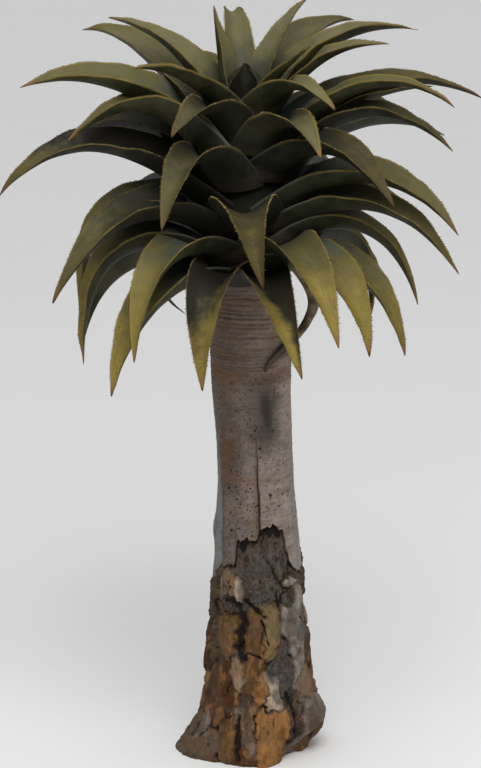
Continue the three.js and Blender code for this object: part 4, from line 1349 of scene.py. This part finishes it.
# %% Tooth tree
def tooth_tree():
    number = "NodeSocketFloat"
    tree, given, result = geometry_tree(
        "Margin teeth",
        {"Spacing": number, "Height": number, "Seed": "NodeSocketInt", "Finish": "NodeSocketMaterial"},
    )
    times, *_ = short_sums(tree)
    across, share = field(tree, "across"), field(tree, "share")
    edge = {0: sum_of(tree, "ABSOLUTE", across), 1: 0.999}
    rim = add(tree, "FunctionNodeCompare", edge, operation="GREATER_THAN").outputs[0]
    margins = {"Mesh": given["Geometry"], "Selection": rim}
    margins = add(tree, "GeometryNodeMeshToCurve", margins).outputs[0]
    steps = {"Curve": margins, "Length": given["Spacing"]}
    spaced = add(tree, "GeometryNodeResampleCurve", steps, mode="LENGTH").outputs[0]

    # Teeth fade out at the base and the tip, and buds have none.
    free = times(ramp(tree, share, 0.1, 0.3), ramp(tree, share, 0.99, 0.9))
    free = times(free, ramp(tree, field(tree, "age"), *OPEN_AGE))
    draw = {2: 0.55, 3: 1.25, "Seed": given["Seed"]}
    chance = add(tree, "FunctionNodeRandomValue", draw, data_type="FLOAT").outputs[1]
    size = times(times(chance, free), given["Height"])
    beside = vector_sum(tree, "SCALE", arrow(tree, "side"), sum_of(tree, "SIGN", across))
    ahead = vector_sum(tree, "SCALE", arrow(tree, "way"), 0.8)
    point = {"Vector": vector_sum(tree, "ADD", beside, ahead)}
    turned = add(tree, "FunctionNodeAlignRotationToVector", point, axis="Z").outputs[0]
    cone = {"Vertices": 4, "Radius Bottom": 0.42, "Depth": 1.0}
    tooth = add(tree, "GeometryNodeMeshCone", cone).outputs[0]
    row = {"Points": spaced, "Instance": tooth, "Rotation": turned, "Scale": size}
    teeth = add(tree, "GeometryNodeInstanceOnPoints", row).outputs[0]
    real = add(tree, "GeometryNodeRealizeInstances", {"Geometry": teeth}).outputs[0]
    finish = {"Geometry": real, "Material": given["Finish"]}
    tree.links.new(add(tree, "GeometryNodeSetMaterial", finish).outputs[0], result["Geometry"])
    return tree


margin_teeth = tooth_tree()
print("nodes in the tooth tree:", len(margin_teeth.nodes))

# %% Tooth and dry leaf materials
def withered_finish(name, light, dark, size):
    """A finish that is mottled between two tones, with fibres along the piece and a dark tail."""
    finish, tree, skin = new_finish(name)
    spot = object_spot(tree)
    mottle = grain_of(tree, spot, size, 4, 0.65)
    fibre = grain_of(tree, spot, size * 0.3, 3, 0.6, (1, 1, 0.3))
    tone = blended(tree, ramp(tree, mottle, 0.35, 0.65), dark, light)
    tail = ramp(tree, stored(tree, "share"), 0.55, 0.9, 0, 0.75)
    tone = blended(tree, tail, tone, tuple(0.4 * part for part in dark))
    tree.links.new(tone, skin["Base Color"])
    embossed(tree, skin, fibre, 0.4, 0.002)
    tree.links.new(ramp(tree, fibre, 0.3, 0.7, 0.75, 0.95), skin["Roughness"])
    return finish


tooth_horn = withered_finish("tooth_horn", (0.3, 0.225, 0.07), (0.14, 0.085, 0.028), 0.02)
dry_leaf_skin = withered_finish("dry_leaf_skin", (0.25, 0.185, 0.125), (0.09, 0.055, 0.032), 0.03)
print("withered finishes:", tooth_horn.name, dry_leaf_skin.name)

# %% Grow the teeth
# The leaves get their maps only after their teeth have grown, so that the teeth don't copy them.
tooth_meshes = []
for number, (tier, piece) in enumerate(tier_pieces.items()):
    sizes = {"Spacing": 0.0065, "Height": 0.0045, "Seed": number, "Finish": tooth_horn}
    tooth_meshes.append(grown(f"teeth_{tier}", piece, margin_teeth, sizes))
    strip_map(piece)
leaf_teeth = tooth_meshes[0]
with bpy.context.temp_override(active_object=leaf_teeth, selected_editable_objects=tooth_meshes):
    bpy.ops.object.join()
leaf_teeth.name = "leaf_teeth"
print("teeth:", len(leaf_teeth.data.polygons) // 5, "faces:", len(leaf_teeth.data.polygons))

# %% [markdown]
# ## Withered leaves
# Two dead leaves hang under the rosette: a strap that bows out on the right and curls back over
# the trunk, and a wisp on the left. They are swept by the same tree from a thinner section.

# %% Dry leaves
DRY_LEAVES = {
    "curl": dict(
        azimuth=86, base=1215, drop=247, swing=-66, swing_from=0.55, bow=44, bow_end=0.76, stand=0,
        width=51,
    ),
    "wisp": dict(
        azimuth=-95, base=1195, drop=110, swing=0, swing_from=0.5, bow=60, bow_end=1.0, stand=55,
        width=20,
    ),
}


def dry_rib(azimuth, base, drop, swing, swing_from, bow, bow_end, stand, width):
    """A dry leaf's midrib, with the same values by point that a living leaf has."""
    share = leaf_share
    height = base - drop * share
    turn = azimuth + swing * ease(share, swing_from, 1)
    taper = 1 - 0.85 * share**2
    off = 12 * taper + stand * share + bow * np.sin(np.pi * np.minimum(share / bow_end, 1)) + 2
    place = on_trunk(turn, height, np.interp(height, *zip(*TRUNK_RADIUS)) + off)
    way = np.gradient(place, axis=0)
    way /= np.linalg.norm(way, axis=1)[:, None]
    side = sideways(turn)
    side -= way * np.sum(side * way, axis=1)[:, None]
    side /= np.linalg.norm(side, axis=1)[:, None]
    blank = np.zeros(RIB_POINTS)
    plain = {key: blank for key in ("clasp", "sheath", "roll", "tint_and_shade", "painted_shade", "lean")}
    return plain | {
        "place": place, "side": side, "upper": np.cross(way, side), "out": outward(turn), "way": way,
        "half_width": 0.5 * width * taper, "spot": blank + 100, "share": share, "age": blank + 1,
    }


dry_across = np.sin(np.linspace(-np.pi / 2, np.pi / 2, 10))
dry_round = np.sqrt(np.maximum(1 - dry_across**2, 0))
dry_top = 0.75 * dry_round - 0.5 * dry_round**4
dry_section = section_object("dry_section", dry_across, dry_top, -0.8 * dry_round)
dry_sizes = {
    "Section": dry_section, "Channel": 0.0, "Wave Height": 0.008, "Wave Size": 30.0, "Seed": 9.0,
    "Finish": dry_leaf_skin,
}
dry_pieces = {}
for name, sizes in DRY_LEAVES.items():
    rib = rib_object(f"rib_{name}", [dry_rib(**sizes)])
    dry_pieces[name] = grown(f"dry_{name}_strap", rib, leaf_blades, dry_sizes)
    strip_map(dry_pieces[name])
    bpy.data.objects.remove(rib)
for section in (leaf_section, dry_section):
    bpy.data.objects.remove(section)
print("dry leaves:", list(dry_pieces))

# %% [markdown]
# ## Floor and light
# The plant stands on a plain, pale floor that runs far behind it. A pale sky that is brightest
# overhead gives soft light, and one large soft box hangs over the crown, so that the tops of the
# leaves are lit and the heart of the rosette stays dark.

# %% Floor
REACH = 60
corners = [(-REACH, -REACH, 0), (REACH, -REACH, 0), (REACH, REACH, 0), (-REACH, REACH, 0)]
floor_mesh = bpy.data.meshes.new("studio_floor")
floor_mesh.from_pydata(corners, [], [(0, 1, 2, 3)])
studio_floor = placed("studio_floor", floor_mesh)
floor_paint, floor_tree, floor_skin = new_finish("floor_paint")
floor_grain = grain_of(floor_tree, object_spot(floor_tree), 0.4)
floor_tone = blended(floor_tree, floor_grain, (0.92, 0.92, 0.92), (0.94, 0.94, 0.94))
floor_tree.links.new(floor_tone, floor_skin["Base Color"])
floor_skin["Roughness"].default_value = 0.9
floor_mesh.materials.append(floor_paint)
print("floor:", 2 * REACH, "metres wide")

# %% Lights
BACKDROP, HORIZON = 0.66, 0.15  # how bright the sky looks, and how much it lights from the side


def soft_box(name, place, turn, size, power):
    """A round lamp of this size in metres and power in watts, turned by angles in degrees."""
    lamp = bpy.data.lights.new(name, "AREA")
    lamp.shape = "DISK"
    lamp.size = size
    lamp.energy = power
    made = placed(name, lamp)
    made.location = place
    made.rotation_euler = [math.radians(angle) for angle in turn]


soft_box("crown_light", place=(0.25, -2.3, 4.1), turn=(40, 0, 5), size=2.4, power=85)
sky = bpy.data.worlds.new("pale_sky")
sky.use_nodes = True
sky_tree = sky.node_tree
sky_light = sky_tree.nodes["Background"].inputs
_, _, sky_less, sky_times_plus = short_sums(sky_tree)
direction = add(sky_tree, "ShaderNodeTexCoord").outputs["Generated"]
climb = add(sky_tree, "ShaderNodeSeparateXYZ", {0: direction}).outputs["Z"]
overhead = sum_of(sky_tree, "POWER", sum_of(sky_tree, "MAXIMUM", climb, 0.0), 2.0)
glow = sky_times_plus(overhead, 1.0, HORIZON)
seen = add(sky_tree, "ShaderNodeLightPath").outputs["Is Camera Ray"]
sky_tree.links.new(sky_times_plus(sky_less(BACKDROP, glow), seen, glow), sky_light["Strength"])
sky_light["Color"].default_value = (1, 1, 1, 1)
scene.world = sky
scene.view_settings.view_transform = "Standard"

# %% [markdown]
# ## Hand over
# Every piece rides on the one body, and the solids that it stands for are hidden.

# %% Finish
for piece in (trunk_cork, trunk_neck):
    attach(piece, "root")
    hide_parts("trunk")
for tier, piece in tier_pieces.items():
    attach(piece, "root")
    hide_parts(*[f"leaf_{tier}_{i + 1}" for i in range(len(LEAF_TIERS[tier]))])
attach(leaf_teeth, "root")
for name, piece in dry_pieces.items():
    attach(piece, "root")
    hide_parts(f"dry_{name}")
bpy.context.view_layer.update()
